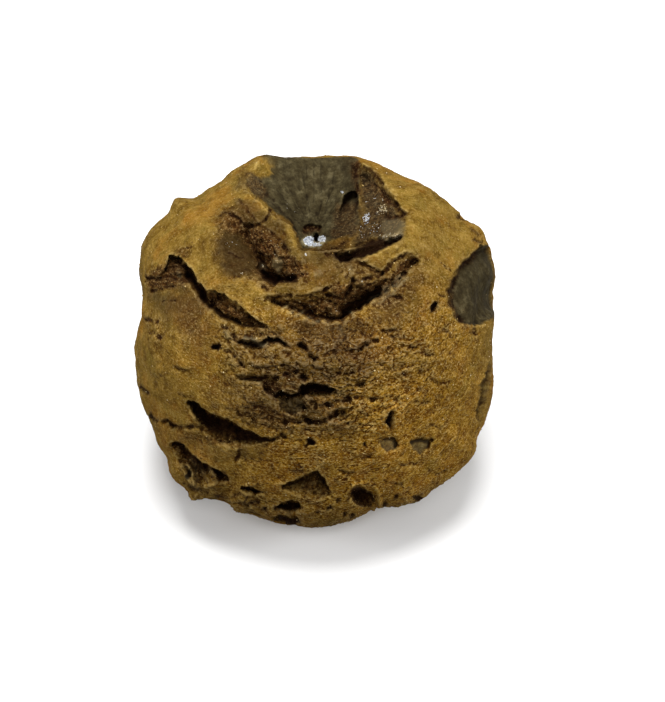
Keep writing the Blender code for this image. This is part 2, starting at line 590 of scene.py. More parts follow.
# ---------------------------------------------------------------------------------
# What the camera sees, stroke by stroke, in the frame's pixels
# ---------------------------------------------------------------------------------
def front(c):
    c.level(False)
    # Broad relief: plates, brows and hollows.
    for u, v, ru, rv, height, turn in (
        (205, 225, 34, 24, 0.45, -30), (430, 222, 36, 30, 0.5, 35), (222, 286, 30, 8, 0.55, 18),
        (300, 288, 38, 5, 0.45, -6), (375, 264, 20, 6, 0.45, -14), (165, 352, 26, 44, 0.5, 0),
        (214, 366, 16, 26, -0.45, 8), (330, 334, 42, 9, -0.55, 0), (262, 360, 30, 9, 0.35, 6),
        (330, 366, 34, 9, 0.30, -10), (425, 335, 28, 46, 0.45, 0), (245, 405, 30, 12, 0.6, 22),
        (345, 428, 40, 10, 0.3, 0), (330, 455, 60, 14, 0.35, 0), (425, 470, 40, 20, 0.25, -20),
        (225, 455, 22, 10, 0.4, 30), (190, 434, 20, 5, 0.35, 16), (390, 315, 20, 14, 0.3, 0),
        (180, 300, 22, 12, -0.35, 10), (300, 500, 50, 10, -0.25, 0), (175, 465, 10, 18, 0.4, -30),
        (355, 405, 16, 8, 0.3, 0), (300, 322, 26, 5, 0.3, 14),
    ):  # fmt: skip
        lump(c, u, v, ru, rv, height, turn)

    # --- crater
    dent(
        c,
        [(264, 140), (262, 158), (272, 166), (270, 176), (258, 178), (250, 174), (246, 184), (250, 192), (262, 200), (270, 207), (280, 214), (290, 221), (295, 233), (300, 243), (303, 248), (320, 247), (332, 240), (345, 237), (353, 236), (360, 225), (359, 205), (359, 190), (358, 140)],
        0.0, soft=1.0, grey=1, smooth=0.85, ground=1.3,
    )  # fmt: skip
    dent(c, [(234, 190), (243, 168), (252, 174), (262, 180), (268, 196), (262, 199), (248, 192)], 0.0, soft=1.0, brown=0.4, grey=0.5, ground=5)
    dent(c, [(272, 205), (290, 218), (300, 240), (318, 226), (300, 215), (285, 200)], 0.0, soft=1.0, stain=0.6, ground=8)
    dent(c, [(340, 160), (357, 160), (358, 200), (346, 196)], 0.0, soft=1.0, stain=0.8, ground=5)
    grain(c, [(280, 160), (352, 160), (345, 200), (330, 235), (305, 232), (285, 205)], 92, 1.6, 0.12, stain=0.25)
    for pts in (
        [(282, 160), (289, 180), (295, 200), (303, 222)], [(300, 158), (304, 180), (307, 200), (311, 222)],
        [(322, 158), (321, 180), (319, 200), (316, 222)], [(338, 160), (333, 180), (328, 200), (322, 220)],
        [(268, 172), (279, 190), (290, 207)],
    ):  # fmt: skip
        crack(c, pts, 2.2, 0.16, taper=0.3, stain=0.25)
    # ochre left on its rim, and the worn dark seam beside the broken rock
    lump(c, 259, 165, 10, 7, 0.5, 20, grey=-0.9, brown=-0.9, stain=-0.5)
    crack(c, [(357, 158), (356, 168), (355, 178), (357, 188), (358, 196)], 2.6, 0.9, taper=0.08, dark=0.6, brown=0.9)
    crack(c, [(266, 192), (270, 197), (275, 203)], 1.9, 0.6, dark=0.8)
    crack(c, [(258, 183), (264, 182)], 1.2, 0.4, dark=0.6)
    # notch high on its right wall, and the flute that runs down from it
    gap(
        c,
        [(344, 204), (345, 197), (349, 192), (354, 192), (357, 197), (358, 205)],
        [(334, 228), (337, 237), (343, 238), (349, 232), (354, 222)],
        2.4, power=2.0, rim=0.2, shade=(0.70, 1.0), dark=0.9, grey=1, stain=0.70,
    )  # fmt: skip
    crack(c, [(340, 204), (337, 214), (334, 224), (331, 236)], 1.5, -0.25)
    crack(c, [(338, 212), (336, 224), (334, 234)], 1.3, 0.25, stain=0.7)
    crack(c, [(358, 204), (357, 216), (354, 228), (350, 238)], 1.5, 0.35, stain=0.8)
    dent(c, [(337, 204), (358, 204), (355, 236), (332, 238)], 0.0, soft=1, brown=0.35, ground=3)
    crack(c, [(267, 198), (275, 205), (284, 213), (291, 221), (296, 231), (300, 242)], 1.2, 0.6, taper=0.06, dark=0.6, stain=0.6)
    # druse pit at its bottom
    pit(c, 314.5, 241, 12.5, 5.6, 1.0, 0, 1.3, edge=(1.1, 0.85), grey=-0.2, pale=0.9)
    pit(c, 316, 239, 3.2, 4.4, 2.6, 0, 1.2, dark=1, pale=-1)
    gap(
        c,
        [(302, 233), (305, 227), (312, 226), (320, 226), (322, 231)],
        [(304, 235), (312, 234), (320, 233)],
        1.2, power=0.7, rough=0.2, dark=0.6, brown=0.9,
    )  # fmt: skip

    # --- broken rock at the crater's right
    valley(
        c,
        [(358, 164), (364, 169), (371, 170), (377, 176), (382, 183), (388, 186), (392, 195), (396, 205), (399, 213), (407, 217), (405, 230), (400, 238), (385, 240), (372, 240), (360, 245), (352, 250), (350, 240), (356, 226), (358, 206), (358, 190)],
        [(364, 178), (370, 190), (382, 200), (386, 214), (380, 228), (366, 236)],
        1.5, power=0.55, rough=0.12, grey=1, brown=0.45, stain=0.2,
    )  # fmt: skip
    crack(c, [(360, 166), (370, 169), (377, 176), (384, 184), (390, 190), (393, 198), (398, 210), (406, 216)], 2.0, 0.8, taper=0.03, dark=0.75, brown=1)
    dent(c, [(378, 184), (388, 188), (394, 206), (384, 204)], 0.3, soft=1.5, brown=0.8, stain=0.5, ground=3)
    crack(c, [(383, 216), (391, 218), (398, 216), (405, 217)], 1.6, 0.9, dark=0.9, brown=1)
    dent(c, [(384, 220), (398, 219), (405, 222), (402, 234), (390, 238), (382, 230)], -0.4, soft=1.6, rough=0.2, grey=0.5, pale=0.16)
    dent(c, [(376, 206), (386, 205), (389, 212), (381, 216)], -0.35, soft=1.2)
    dent(c, [(361, 216), (370, 213), (372, 220), (367, 227), (361, 224)], -0.2, soft=1.2)
    dent(c, [(376, 238), (400, 230), (404, 236), (390, 242)], -0.2, soft=1.2, pale=0.25, brown=0.4)
    # the slot under it
    gap(
        c,
        [(334, 257), (341, 262), (347, 262), (353, 258), (362, 256), (374, 253), (385, 249), (395, 244), (403, 238)],
        [(332, 255), (340, 252), (348, 249), (354, 243), (363, 240), (374, 238), (386, 236), (402, 236)],
        3.6, power=0.5, soft=1.0, rim=0.25, shade=(0.0, 0.4), dark=0.9, grey=0.8, brown=0.7,
    )  # fmt: skip
    dent(c, [(345, 259), (356, 247), (372, 242), (398, 238), (398, 243), (380, 250), (362, 256), (349, 262)], 0.0, soft=1, dark=0.55, ground=1.5)
    crack(c, [(322, 256), (330, 255), (338, 253), (346, 249)], 2.0, 0.8, dark=0.35, brown=0.9)
    crack(c, [(324, 250), (334, 248), (344, 243), (352, 239)], 1.5, 0.5, brown=0.7)

    # --- bank in front of the crater, and the tongue at its right
    crack(c, [(302, 252), (315, 250), (330, 248), (344, 244)], 4.5, -0.45, taper=0.2)
    crack(c, [(352, 259), (365, 258), (380, 254), (395, 248), (408, 241)], 3.4, -0.45, taper=0.15)
    crack(c, [(358, 262), (366, 267), (374, 271), (381, 273), (386, 271)], 1.7, 0.9, dark=0.35, brown=1)
    crack(c, [(385, 270), (390, 263), (394, 259)], 1.4, 0.6, dark=0.2, brown=0.9)
    dent(c, [(334, 262), (356, 260), (374, 272), (378, 278), (350, 282), (338, 274)], 0.15, soft=2, rough=0.2, brown=0.45, stain=0.2, ground=5)
    dent(c, [(347, 266), (352, 265), (355, 273), (350, 275)], -0.35, soft=1.0, pale=0.12, brown=-0.5)
    crack(c, [(296, 252), (302, 260), (308, 268), (318, 272)], 1.2, 0.25, stain=0.3)
    dent(c, [(312, 270), (322, 268), (324, 275), (314, 277)], -0.2, soft=1.5, pale=0.12)
    crack(c, [(324, 268), (330, 270), (336, 269)], 1.1, 0.3, brown=0.7)

    # --- left hollow: a bowl under the crater's crest, deepest at its lower right
    crack(c, [(236, 188), (250, 195), (262, 203), (272, 211), (282, 219), (289, 230), (294, 243), (301, 257), (309, 270)], 5.0, -0.75, taper=0.12)
    valley(
        c,
        [(216, 212), (228, 202), (240, 203), (248, 211), (257, 219), (265, 225), (274, 233), (285, 243), (292, 254), (300, 264), (313, 277), (300, 281), (285, 285), (270, 288), (257, 281), (242, 278), (225, 276), (214, 260), (212, 236)],
        [(246, 236), (253, 246), (258, 257), (266, 268), (278, 277)],
        3.9, power=1.1, soft=2.0, brown=0.85, stain=0.75,
    )  # fmt: skip
    # its smooth left plate, turned towards the camera
    dent(c, [(217, 240), (226, 232), (240, 236), (250, 248), (256, 262), (252, 274), (236, 277), (222, 270)], -0.7, soft=5.0, grey=0.22, brown=-0.85, stain=1, dark=0.60, smooth=1, ground=5)
    # the plate between the cracks, under the crest
    dent(c, [(236, 200), (250, 206), (264, 222), (256, 226), (244, 224), (232, 212)], -0.4, soft=2.0, brown=-0.35, smooth=0.4, ground=5)
    dent(c, [(222, 218), (234, 210), (242, 218), (246, 228), (236, 234), (224, 232)], -0.4, soft=3.0, brown=0.2, smooth=0.5, ground=6)
    # crumbled right side
    dent(c, [(248, 230), (262, 230), (274, 240), (284, 254), (280, 264), (266, 258), (254, 250)], -0.6, soft=2.0, rough=0.55, brown=1, ground=3.0)
    dent(c, [(284, 252), (294, 258), (308, 276), (296, 280), (286, 270)], -0.3, soft=2.0, rough=0.4, brown=1, ground=3.0)
    gap(
        c,
        [(259, 265), (263, 273), (269, 280), (276, 284), (284, 281), (291, 282), (297, 277)],
        [(260, 260), (266, 263), (271, 269), (278, 271), (284, 273), (291, 272), (297, 275)],
        2.4, power=0.6, soft=1.2, rough=0.25, steps=2, dark=1, brown=1,
    )  # fmt: skip
    dent(c, [(272, 260), (276, 257), (282, 260), (283, 266), (277, 270), (273, 266)], -0.5, soft=0.8, rough=0.5, pale=0.22, dark=-1, brown=-0.5)
    dent(c, [(276, 268), (281, 268), (281, 272), (277, 272)], -0.5, soft=0.8, pale=0.2, dark=-1, brown=-0.5)
    dent(c, [(274, 249), (279, 250), (280, 256), (275, 257)], -0.7, soft=1.0, grey=0.4, dark=-0.8, brown=-0.4)
    dent(c, [(260, 262), (266, 264), (270, 269), (266, 271), (260, 267)], -0.8, soft=1.0, grey=0.6, pale=0.12, dark=-0.8)
    crack(c, [(254, 250), (260, 255), (268, 257), (275, 255)], 1.2, 1.0, dark=0.8, brown=1)
    crack(c, [(255, 258), (262, 260), (268, 264)], 1.1, 0.8, dark=0.7, brown=1)
    crack(c, [(279, 238), (283, 243), (285, 250)], 1.8, 0.8, dark=0.7, brown=1)
    crack(c, [(288, 256), (294, 262), (299, 270)], 1.3, 0.6, dark=0.5, brown=1)
    crack(c, [(257, 265), (262, 273), (269, 280), (277, 284)], 2.4, 1.3, taper=0.06, dark=1, brown=1)
    crack(c, [(279, 281), (288, 279), (296, 280)], 1.8, 1.0, taper=0.08, dark=1, brown=1)
    # cracks that meet like a Y
    crack(c, [(218, 217), (224, 213), (231, 214), (238, 219), (243, 225), (248, 228)], 1.3, 1.0, taper=0.08, wall=0.15, dark=0.8, brown=1)
    crack(c, [(238, 198), (243, 206), (248, 212), (253, 219), (259, 225)], 1.2, 0.5, taper=0.1, dark=0.25, brown=0.9)
    crack(c, [(271, 207), (270, 213), (266, 219), (260, 224), (253, 227), (246, 228)], 1.5, 1.6, taper=0.05, wall=0.2, dark=1, brown=1)
    crack(c, [(262, 226), (268, 231), (275, 237), (283, 243), (290, 253)], 1.4, 0.8, taper=0.08, dark=0.45, brown=1)
    crack(c, [(246, 228), (249, 236), (252, 244)], 1.2, 0.6, dark=0.4, brown=1)
    crack(c, [(226, 277), (240, 277), (252, 279), (262, 285), (270, 289)], 1.3, 0.4, brown=0.8)
    dent(c, [(252, 279), (264, 283), (272, 288), (268, 293), (256, 288)], 0.2, soft=1.5, brown=0.55, ground=3.0)

    # --- lip on the left, with the dark break beneath it
    gap(
        c,
        [(168, 262), (171, 256), (179, 260), (186, 266), (192, 273), (197, 281), (203, 287), (206, 294), (211, 291), (218, 296), (224, 295), (229, 300), (237, 305), (244, 311), (251, 317), (258, 323), (268, 327)],
        [(160, 279), (170, 281), (182, 282), (190, 286), (197, 295), (204, 304), (212, 310), (221, 318), (230, 323), (241, 327), (252, 329), (268, 328.5)],
        3.0, lift=0.9, power=0.75, soft=0.9, steps=3, rim=0.25, torn=1.3, brown=1, dark=0.35,
    )  # fmt: skip
    gap(
        c,
        [(188, 272), (194, 279), (199, 286), (205, 295), (211, 303), (220, 311), (229, 318), (240, 322), (255, 325)],
        [(184, 281), (191, 287), (198, 297), (206, 306), (214, 313), (223, 320), (232, 325), (244, 328), (256, 328)],
        2.4, lift=0.7, power=0.7, soft=0.9, rim=0.0, torn=1.3, fade=2.5, dark=1,
    )  # fmt: skip
    dent(c, [(224, 302), (232, 302), (243, 311), (250, 320), (240, 320), (229, 314), (222, 309)], -0.7, soft=1.4, rough=0.35, dark=-0.8)
    for k, pts in enumerate((
        [(163, 270), (172, 266), (182, 266), (190, 270)], [(164, 274), (174, 270), (184, 271), (191, 275)],
        [(160, 278), (172, 276), (184, 277), (192, 280)], [(166, 264), (173, 261), (180, 263)],
    )):  # fmt: skip
        crack(c, pts, 1.3, 0.8, taper=0.08, wall=0.2, dark=0.75 - 0.1 * k, brown=1)
    dent(c, [(175, 271), (178, 271), (181, 276), (178, 277)], -0.5, soft=0.8, pale=0.2, brown=-0.4)
    crack(c, [(145, 279), (156, 279), (168, 279), (180, 279), (190, 281)], 1.7, 1.1, taper=0.06, wall=0.3, dark=0.7, brown=1)
    crack(c, [(148, 284), (160, 285), (172, 283)], 1.6, 0.5, brown=0.9, dark=0.2)
    crack(c, [(148, 290), (158, 289), (170, 288), (178, 286)], 1.2, 0.6, wall=0.15, dark=0.5, brown=0.8)
    dent(c, [(146, 278), (158, 266), (168, 260), (180, 262), (188, 270), (192, 281), (160, 288), (148, 286)], 0.0, soft=2, brown=0.9, stain=0.3, ground=4)
    dent(c, [(172, 249), (188, 248), (190, 256), (174, 257)], 0.3, soft=1.5, brown=0.7, ground=3)
    crack(c, [(170, 255), (177, 250), (187, 248), (196, 246)], 1.2, 0.4, brown=0.8)
    # the smooth face under it
    dent(
        c,
        [(150, 292), (166, 288), (182, 288), (194, 296), (204, 308), (202, 326), (188, 336), (168, 330), (154, 316)],
        0.35, soft=5, grey=0.25, stain=0.60, smooth=0.8, ground=13,
    )  # fmt: skip
    dent(c, [(178, 300), (200, 300), (208, 322), (198, 346), (182, 338)], 0.0, soft=4, brown=0.4, smooth=0.5, ground=7)
    dent(c, [(206, 320), (222, 326), (228, 342), (214, 350), (204, 340)], 0.1, soft=3, brown=0.3, stain=0.2, ground=6)
    dent(c, [(146, 292), (176, 290), (202, 298), (216, 312), (196, 318), (164, 312), (148, 304)], 0.0, soft=2, grey=0.3, stain=0.35, smooth=0.6, ground=7)
    dent(c, [(186, 322), (206, 330), (212, 350), (206, 372), (192, 360), (184, 340)], 0.0, soft=2, grey=0.28, stain=0.25, smooth=0.6, ground=9)
    # a raised strand along the lip, painted pale as a highlight
    crack(c, [(243, 338), (250, 338), (258, 341), (264, 346), (270, 345)], 1.5, -0.45, taper=0.1, pale=0.35)
    crack(c, [(160, 304), (166, 301), (171, 302)], 1.1, 0.35, brown=0.8, dark=0.3)
    crack(c, [(200, 302), (208, 304), (214, 308)], 1.2, 0.4, brown=0.6)
    crack(c, [(219, 326), (225, 329), (231, 327), (234, 332), (237, 338)], 1.4, 0.6, dark=0.3, brown=1)
    dent(c, [(224, 331), (230, 332), (232, 339), (226, 337)], -0.4, soft=1.2, pale=0.25)
    dent(c, [(236, 327), (256, 329), (268, 326), (282, 332), (280, 339), (258, 338), (240, 338)], 0.3, soft=2, rough=0.3, brown=0.55, ground=4)
    for u, v in ((148, 320), (157, 321), (160, 337)):
        pit(c, u, v, 3.0, 2.4, 0.5, 20, dark=0.3, brown=1)
    dent(c, [(146, 318), (158, 316), (166, 340), (158, 350), (148, 338)], 0.0, soft=2, rough=0.25, brown=0.4, ground=6)

    # --- brow in the middle, and the broken band under it
    gap(
        c,
        [(266, 300), (276, 304), (286, 307), (297, 311), (306, 316), (315, 320), (326, 322), (343, 321), (348, 316), (354, 311), (364, 307), (372, 301), (382, 295), (392, 287), (401, 278), (410, 269), (418, 260)],
        [(265, 297), (278, 298), (290, 298), (300, 297), (311, 295), (320, 292), (330, 289), (338, 284), (346, 284), (355, 282), (366, 281), (378, 278), (386, 273), (392, 266), (399, 260), (406, 255), (418, 257)],
        2.6, lift=0.0, power=0.8, soft=1.2, steps=3, worn=0.25, torn=2.2, fade=2.0, brown=1, stain=0.15,
    )  # fmt: skip
    # under the brow's own edge
    crack(
        c,
        [(264, 296), (275, 298), (290, 297), (302, 296), (312, 294), (321, 291), (330, 287), (337, 283), (347, 283)],
        1.4, 0.75, taper=0.05, wall=0.3, dark=0.5, brown=0.9,
    )  # fmt: skip
    crack(c, [(352, 281), (366, 280), (377, 277), (385, 272), (392, 264), (399, 258), (408, 254), (418, 256)], 1.5, 0.8, taper=0.05, wall=0.3, dark=0.6, brown=1)
    gap(
        c,
        [(341, 320), (347, 315), (354, 310), (364, 306), (372, 300), (379, 295)],
        [(342, 306), (350, 300), (356, 293), (364, 290), (372, 285), (379, 282)],
        1.9, power=0.8, soft=1.4, torn=1.8, fade=3.0, dark=0.8, brown=1,
    )  # fmt: skip
    for pts, deep in (
        ([(284, 304), (296, 308), (306, 314), (316, 318), (328, 320)], 0.5),
        ([(302, 306), (312, 313), (322, 317), (334, 319), (343, 318)], 1.0),
        ([(298, 302), (308, 307), (318, 311)], 0.8),
        ([(275, 301), (286, 306), (296, 313)], 0.5),
        ([(310, 296), (322, 300), (334, 302)], 0.6),
        ([(322, 293), (334, 296), (346, 300)], 0.7),
    ):  # fmt: skip
        crack(c, pts, 1.3, deep, taper=0.08, dark=0.45, brown=1)
    dent(c, [(327, 308), (333, 304), (339, 306), (340, 314), (335, 318), (329, 315)], -0.4, soft=1.0, rough=0.5, grey=0.55, brown=-0.3, dark=-0.6)
    crack(c, [(352, 276), (352, 284), (349, 292), (344, 298)], 1.7, 1.1, taper=0.06, dark=0.85, brown=1)
    dent(c, [(333, 285), (352, 283), (356, 292), (344, 302), (330, 297)], -0.35, soft=1.6, rough=0.35, brown=0.9)
    dent(c, [(356, 283), (376, 280), (372, 290), (358, 294)], -0.3, soft=1.6, rough=0.3, brown=0.9)
    dent(c, [(360, 280), (364, 280), (364, 284), (360, 284)], -0.4, soft=0.8, pale=0.2)
    dent(c, [(353, 285), (367, 283), (380, 279), (382, 290), (372, 297), (356, 306), (345, 312), (346, 300)], 0.0, soft=1, dark=0.40, ground=2.5)
    dent(c, [(384, 281), (392, 271), (400, 263), (412, 260), (404, 270), (394, 280), (386, 288)], -0.35, soft=1.5, rough=0.3, dark=-0.5, ground=1.5)
    dent(c, [(344, 300), (356, 296), (372, 290), (384, 282), (380, 292), (366, 302), (350, 312), (340, 318), (338, 310)], 0.3, soft=2, rough=0.2, dark=0.45, ground=3)
    # layers seen edge-on beyond it
    for k in range(4):
        crack(c, [(372 + 4 * k, 303 + 1.5 * k), (384 + 4 * k, 294 + 1.5 * k), (396 + 4 * k, 284 + 1.5 * k), (408 + 3 * k, 272 + 2 * k)], 1.1, 0.45, taper=0.2, wall=0.12, brown=0.7, dark=0.15)
    dent(c, [(376, 300), (392, 288), (410, 266), (422, 262), (426, 280), (408, 300), (386, 312)], 0.0, soft=2, stain=0.35, brown=0.3, ground=5)
    for k in range(3):
        crack(c, [(366 + 5 * k, 303 + 1.5 * k), (380 + 4 * k, 293 + 1.5 * k), (393 + 4 * k, 282 + 1.5 * k), (404 + 3 * k, 271 + 2 * k)], 1.0, -0.35, taper=0.15, pale=0.32)
    dent(c, [(366, 300), (384, 292), (398, 296), (404, 310), (398, 324), (380, 326), (366, 314)], 0.35, soft=4, grey=0.3, brown=0.3, smooth=0.6, ground=6)
    for k in range(3):
        crack(c, [(368 + 3 * k, 302 + 3 * k), (374 + 3 * k, 305 + 2 * k), (384 + 2 * k, 303 + 2 * k)], 1.1, 0.25, brown=0.5)
    crack(c, [(385, 295), (394, 296), (402, 299), (408, 301)], 1.3, 0.7, dark=0.5, brown=1)
    dent(c, [(296, 322), (345, 324), (360, 318), (366, 334), (340, 344), (300, 340)], 0.3, soft=5, grey=0.30, stain=0.65, brown=0.3, ground=8)
    grain(c, [(316, 320), (345, 322), (350, 338), (320, 338)], 85, 1.5, 0.12, pale=0.1)
    crack(c, [(324, 320), (326, 328), (325, 337)], 1.4, -0.15, pale=0.12)
    crack(c, [(328, 321), (330, 330)], 1.2, -0.15, pale=0.1)
    dent(c, [(268, 300), (290, 312), (318, 324), (300, 334), (272, 322), (262, 308)], 0.0, soft=3, brown=0.25, stain=0.3, ground=8)

    for u0, v0, a in ((284, 307, 30), (291, 311, 24), (299, 315, 20), (308, 318, 14), (316, 321, 8), (303, 312, 40), (352, 314, -30)):
        lump(c, u0, v0, 3.2, 1.1, 0.45, a, pale=0.4, brown=-0.5)
    # --- middle: broken layers
    gap(
        c,
        [(236, 342), (242, 340), (250, 341), (257, 344), (262, 341), (270, 339), (278, 340), (286, 343)],
        [(240, 345), (250, 349), (260, 351), (268, 348), (276, 345), (284, 344)],
        2.4, lift=0.7, power=0.6, soft=0.8, rim=0.3, dark=1, brown=1,
    )  # fmt: skip
    # a raised strand along the lip, painted pale as a highlight
    crack(c, [(241, 337), (249, 337), (256, 341), (260, 344)], 1.4, -0.35, pale=0.35)
    crack(c, [(231, 333), (236, 339), (241, 344)], 1.4, 0.8, dark=0.5, brown=1)
    crack(c, [(282, 343), (290, 347), (297, 344), (303, 347), (308, 353), (313, 359), (320, 358)], 1.8, 1.4, taper=0.06, wall=0.45, dark=0.8, brown=1)
    crack(c, [(290, 342), (299, 342), (306, 348), (311, 356)], 1.3, 0.8, dark=0.4, brown=1)
    crack(c, [(312, 365), (317, 369), (324, 368)], 1.4, 0.9, wall=0.3, dark=0.5, brown=1)
    pit(c, 217, 347, 5.8, 3.2, 1.6, 25, dark=1, brown=1)
    crack(c, [(222, 350), (231, 352), (237, 357), (241, 362), (245, 368)], 1.4, 1.0, taper=0.06, dark=0.7, brown=1)
    dent(c, [(246, 348), (284, 347), (306, 352), (308, 366), (270, 370), (244, 362)], -0.25, soft=3, rough=0.25, stain=0.2, ground=6)
    crack(c, [(250, 364), (258, 367), (266, 368), (272, 365)], 1.3, 0.7, dark=0.4, brown=0.9)
    crack(c, [(254, 356), (266, 357), (274, 355)], 1.2, 0.5, dark=0.2, brown=0.8)
    crack(c, [(235, 376), (242, 379), (252, 378), (262, 379), (272, 380), (280, 379)], 1.8, 1.6, taper=0.06, wall=0.5, dark=0.95, brown=1)
    dent(c, [(260, 380), (272, 381), (280, 388), (274, 394), (266, 391)], 0.9, soft=1.8, rough=0.4, brown=0.9, dark=0.3)
    crack(c, [(263, 385), (268, 391), (275, 395)], 1.5, 0.8, dark=0.8, brown=1)
    for u, v, a in ((286, 375, 10), (296, 372, 0), (303, 376, 30), (306, 379, 0)):
        pit(c, u, v, 4.5, 2.6, 1.1, a, dark=0.75, brown=1)
    # the large dark hole
    gap(
        c,
        [(274, 397), (279, 393), (286, 391), (294, 393), (299, 391), (301, 387), (308, 384), (317, 385), (325, 386), (331, 389), (337, 391)],
        [(276, 398), (284, 398), (292, 398), (300, 397), (306, 397), (316, 398), (326, 397), (334, 394)],
        4.2, lift=1.2, power=0.5, soft=0.8, rim=0.3, dark=1, brown=1,
    )  # fmt: skip
    dent(c, [(278, 397), (302, 396.5), (302, 411), (293, 415), (280, 411)], 0.6, soft=1.1, rough=0.15, grey=0.66, brown=-0.3, dark=-0.5, stain=0.1)
    grain(c, [(280, 398), (302, 398), (302, 414), (280, 414)], 88, 1.8, 0.10, stain=0.4)
    crack(c, [(302.5, 392), (303, 400), (303.5, 407), (306, 411)], 2.3, 2.4, taper=0.06, dark=1)
    dent(c, [(305, 400), (318, 399), (326, 404), (322, 412), (308, 412)], -0.5, soft=1.6, rough=0.35, brown=0.2)
    crack(c, [(309, 400), (314, 405), (316, 411)], 1.3, 0.8, dark=0.4, brown=0.9)
    crack(c, [(318, 408), (326, 405), (333, 407)], 1.4, 1.0, dark=0.6, brown=1)
    crack(c, [(303, 416), (310, 421), (317, 423), (323, 421), (329, 417), (336, 413), (342, 411), (342, 418)], 1.9, 1.7, taper=0.05, wall=0.4, dark=0.95, brown=1)
    crack(c, [(278, 420), (290, 422), (302, 421), (312, 424)], 1.4, 0.8, dark=0.4, brown=1)
    crack(c, [(284, 414), (285, 420), (284, 426)], 1.2, 0.7, dark=0.5, brown=0.9)
    crack(c, [(355, 386), (361, 385), (367, 381)], 2.0, 1.7, taper=0.1, wall=0.3, dark=1, brown=1)
    crack(c, [(338, 396), (350, 398), (362, 396), (372, 399), (380, 398)], 1.3, 0.8, dark=0.4, brown=1)
    crack(c, [(334, 402), (346, 401), (354, 404)], 1.2, 0.7, dark=0.3, brown=0.9)
    crack(c, [(352, 360), (344, 366), (338, 375), (332, 379)], 1.5, 0.6, wall=0.25, brown=0.8)
    crack(c, [(322, 372), (330, 378), (340, 377)], 1.2, 0.6, brown=0.8)
    dent(c, [(330, 344), (352, 346), (358, 356), (340, 362), (326, 354)], 0.3, soft=3, rough=0.3, brown=0.45, ground=5)
    crack(c, [(358, 351), (363, 345), (372, 342), (380, 339)], 1.6, 1.0, taper=0.08, wall=0.3, dark=0.5, brown=1)
    crack(c, [(379, 329), (386, 331), (394, 329), (402, 331)], 1.4, 0.8, wall=0.2, dark=0.4, brown=0.9)
    crack(c, [(384, 336), (394, 336), (403, 334)], 1.3, 0.6, brown=0.9)
    crack(c, [(362, 333), (367, 337), (372, 332)], 1.2, 0.5, dark=0.3, brown=0.8)
    crack(c, [(376, 362), (382, 367), (390, 370), (398, 369)], 1.2, 0.5, brown=0.8)
    pit(c, 312, 442, 5.6, 3.0, 1.6, -25, dark=1, brown=1)
    pit(c, 308, 445, 3, 2.0, 1.0, 20, dark=1)
    pit(c, 364, 443, 1.8, 1.6, 0.9, dark=1)
    pit(c, 349, 424, 2.2, 1.6, 0.8, -30, dark=0.9)
    # the plate above the slanting slot, brown and crumbled towards its end
    dent(c, [(205, 384), (224, 376), (240, 384), (262, 392), (276, 402), (262, 406), (236, 404), (212, 398)], 0.0, soft=2, grey=0.25, stain=0.3, smooth=0.4, ground=8)
    dent(c, [(232, 408), (254, 404), (276, 410), (292, 420), (290, 432), (262, 430), (240, 420)], 0.1, soft=2, rough=0.3, brown=0.6, ground=6)
    crack(c, [(243, 410), (252, 407), (262, 406), (272, 409), (280, 415)], 1.3, 0.7, wall=0.2, dark=0.4, brown=1)
    crack(c, [(246, 388), (252, 394), (256, 398)], 1.2, 0.4, stain=0.8)

    # --- the long slanting slot
    gap(
        c,
        [(188, 401), (195, 402), (201, 407), (208, 413), (216, 418), (228, 420), (238, 425), (247, 431), (257, 435), (267, 438), (275, 440)],
        [(188, 405), (193, 417), (197, 428), (205, 436), (216, 442), (228, 445), (240, 446), (256, 445), (274, 442)],
        5.6, lift=1.7, power=1.05, soft=0.8, rim=0.3, shade=(0.10, 0.42), torn=1.0, fade=3.5, dark=1, brown=1,
    )  # fmt: skip
    crack(c, [(272, 440), (277, 438), (283, 435), (288, 437)], 1.6, 1.2, dark=0.95)
    crack(c, [(163, 425), (166, 421), (170, 421), (174, 426), (180, 428), (187, 426), (195, 426), (200, 430), (205, 430)], 2.1, 1.8, taper=0.05, wall=0.3, dark=0.95, brown=1)
    dent(c, [(178, 430), (206, 434), (236, 440), (240, 446), (214, 444), (184, 438)], 0.2, soft=2, rough=0.3, brown=0.6, ground=5)
    crack(c, [(218, 440), (226, 442), (234, 445), (240, 443)], 1.3, 0.7, brown=0.9, dark=0.3)
    crack(c, [(222, 432), (230, 433), (238, 436)], 1.4, -0.6, dark=-0.6)
    dent(c, [(240, 443), (258, 442), (270, 442), (268, 452), (262, 462), (247, 463), (238, 458)], 0.3, soft=2.0, grey=0.28, stain=0.05, ground=4)
    grain(c, [(240, 440), (272, 441), (266, 464), (240, 464)], 80, 1.6, 0.12, stain=0.4)
    crack(c, [(240, 443), (240, 452), (236, 463)], 1.3, 0.8, brown=0.9, dark=0.3)
    # outline notch and the line running in from it
    crack(c, [(149, 413), (153, 418), (158, 423)], 1.6, 0.6, taper=0.1, dark=0.9, brown=1)
    crack(c, [(139, 385), (144, 391), (150, 395)], 1.5, 0.5, dark=0.7, brown=0.9)

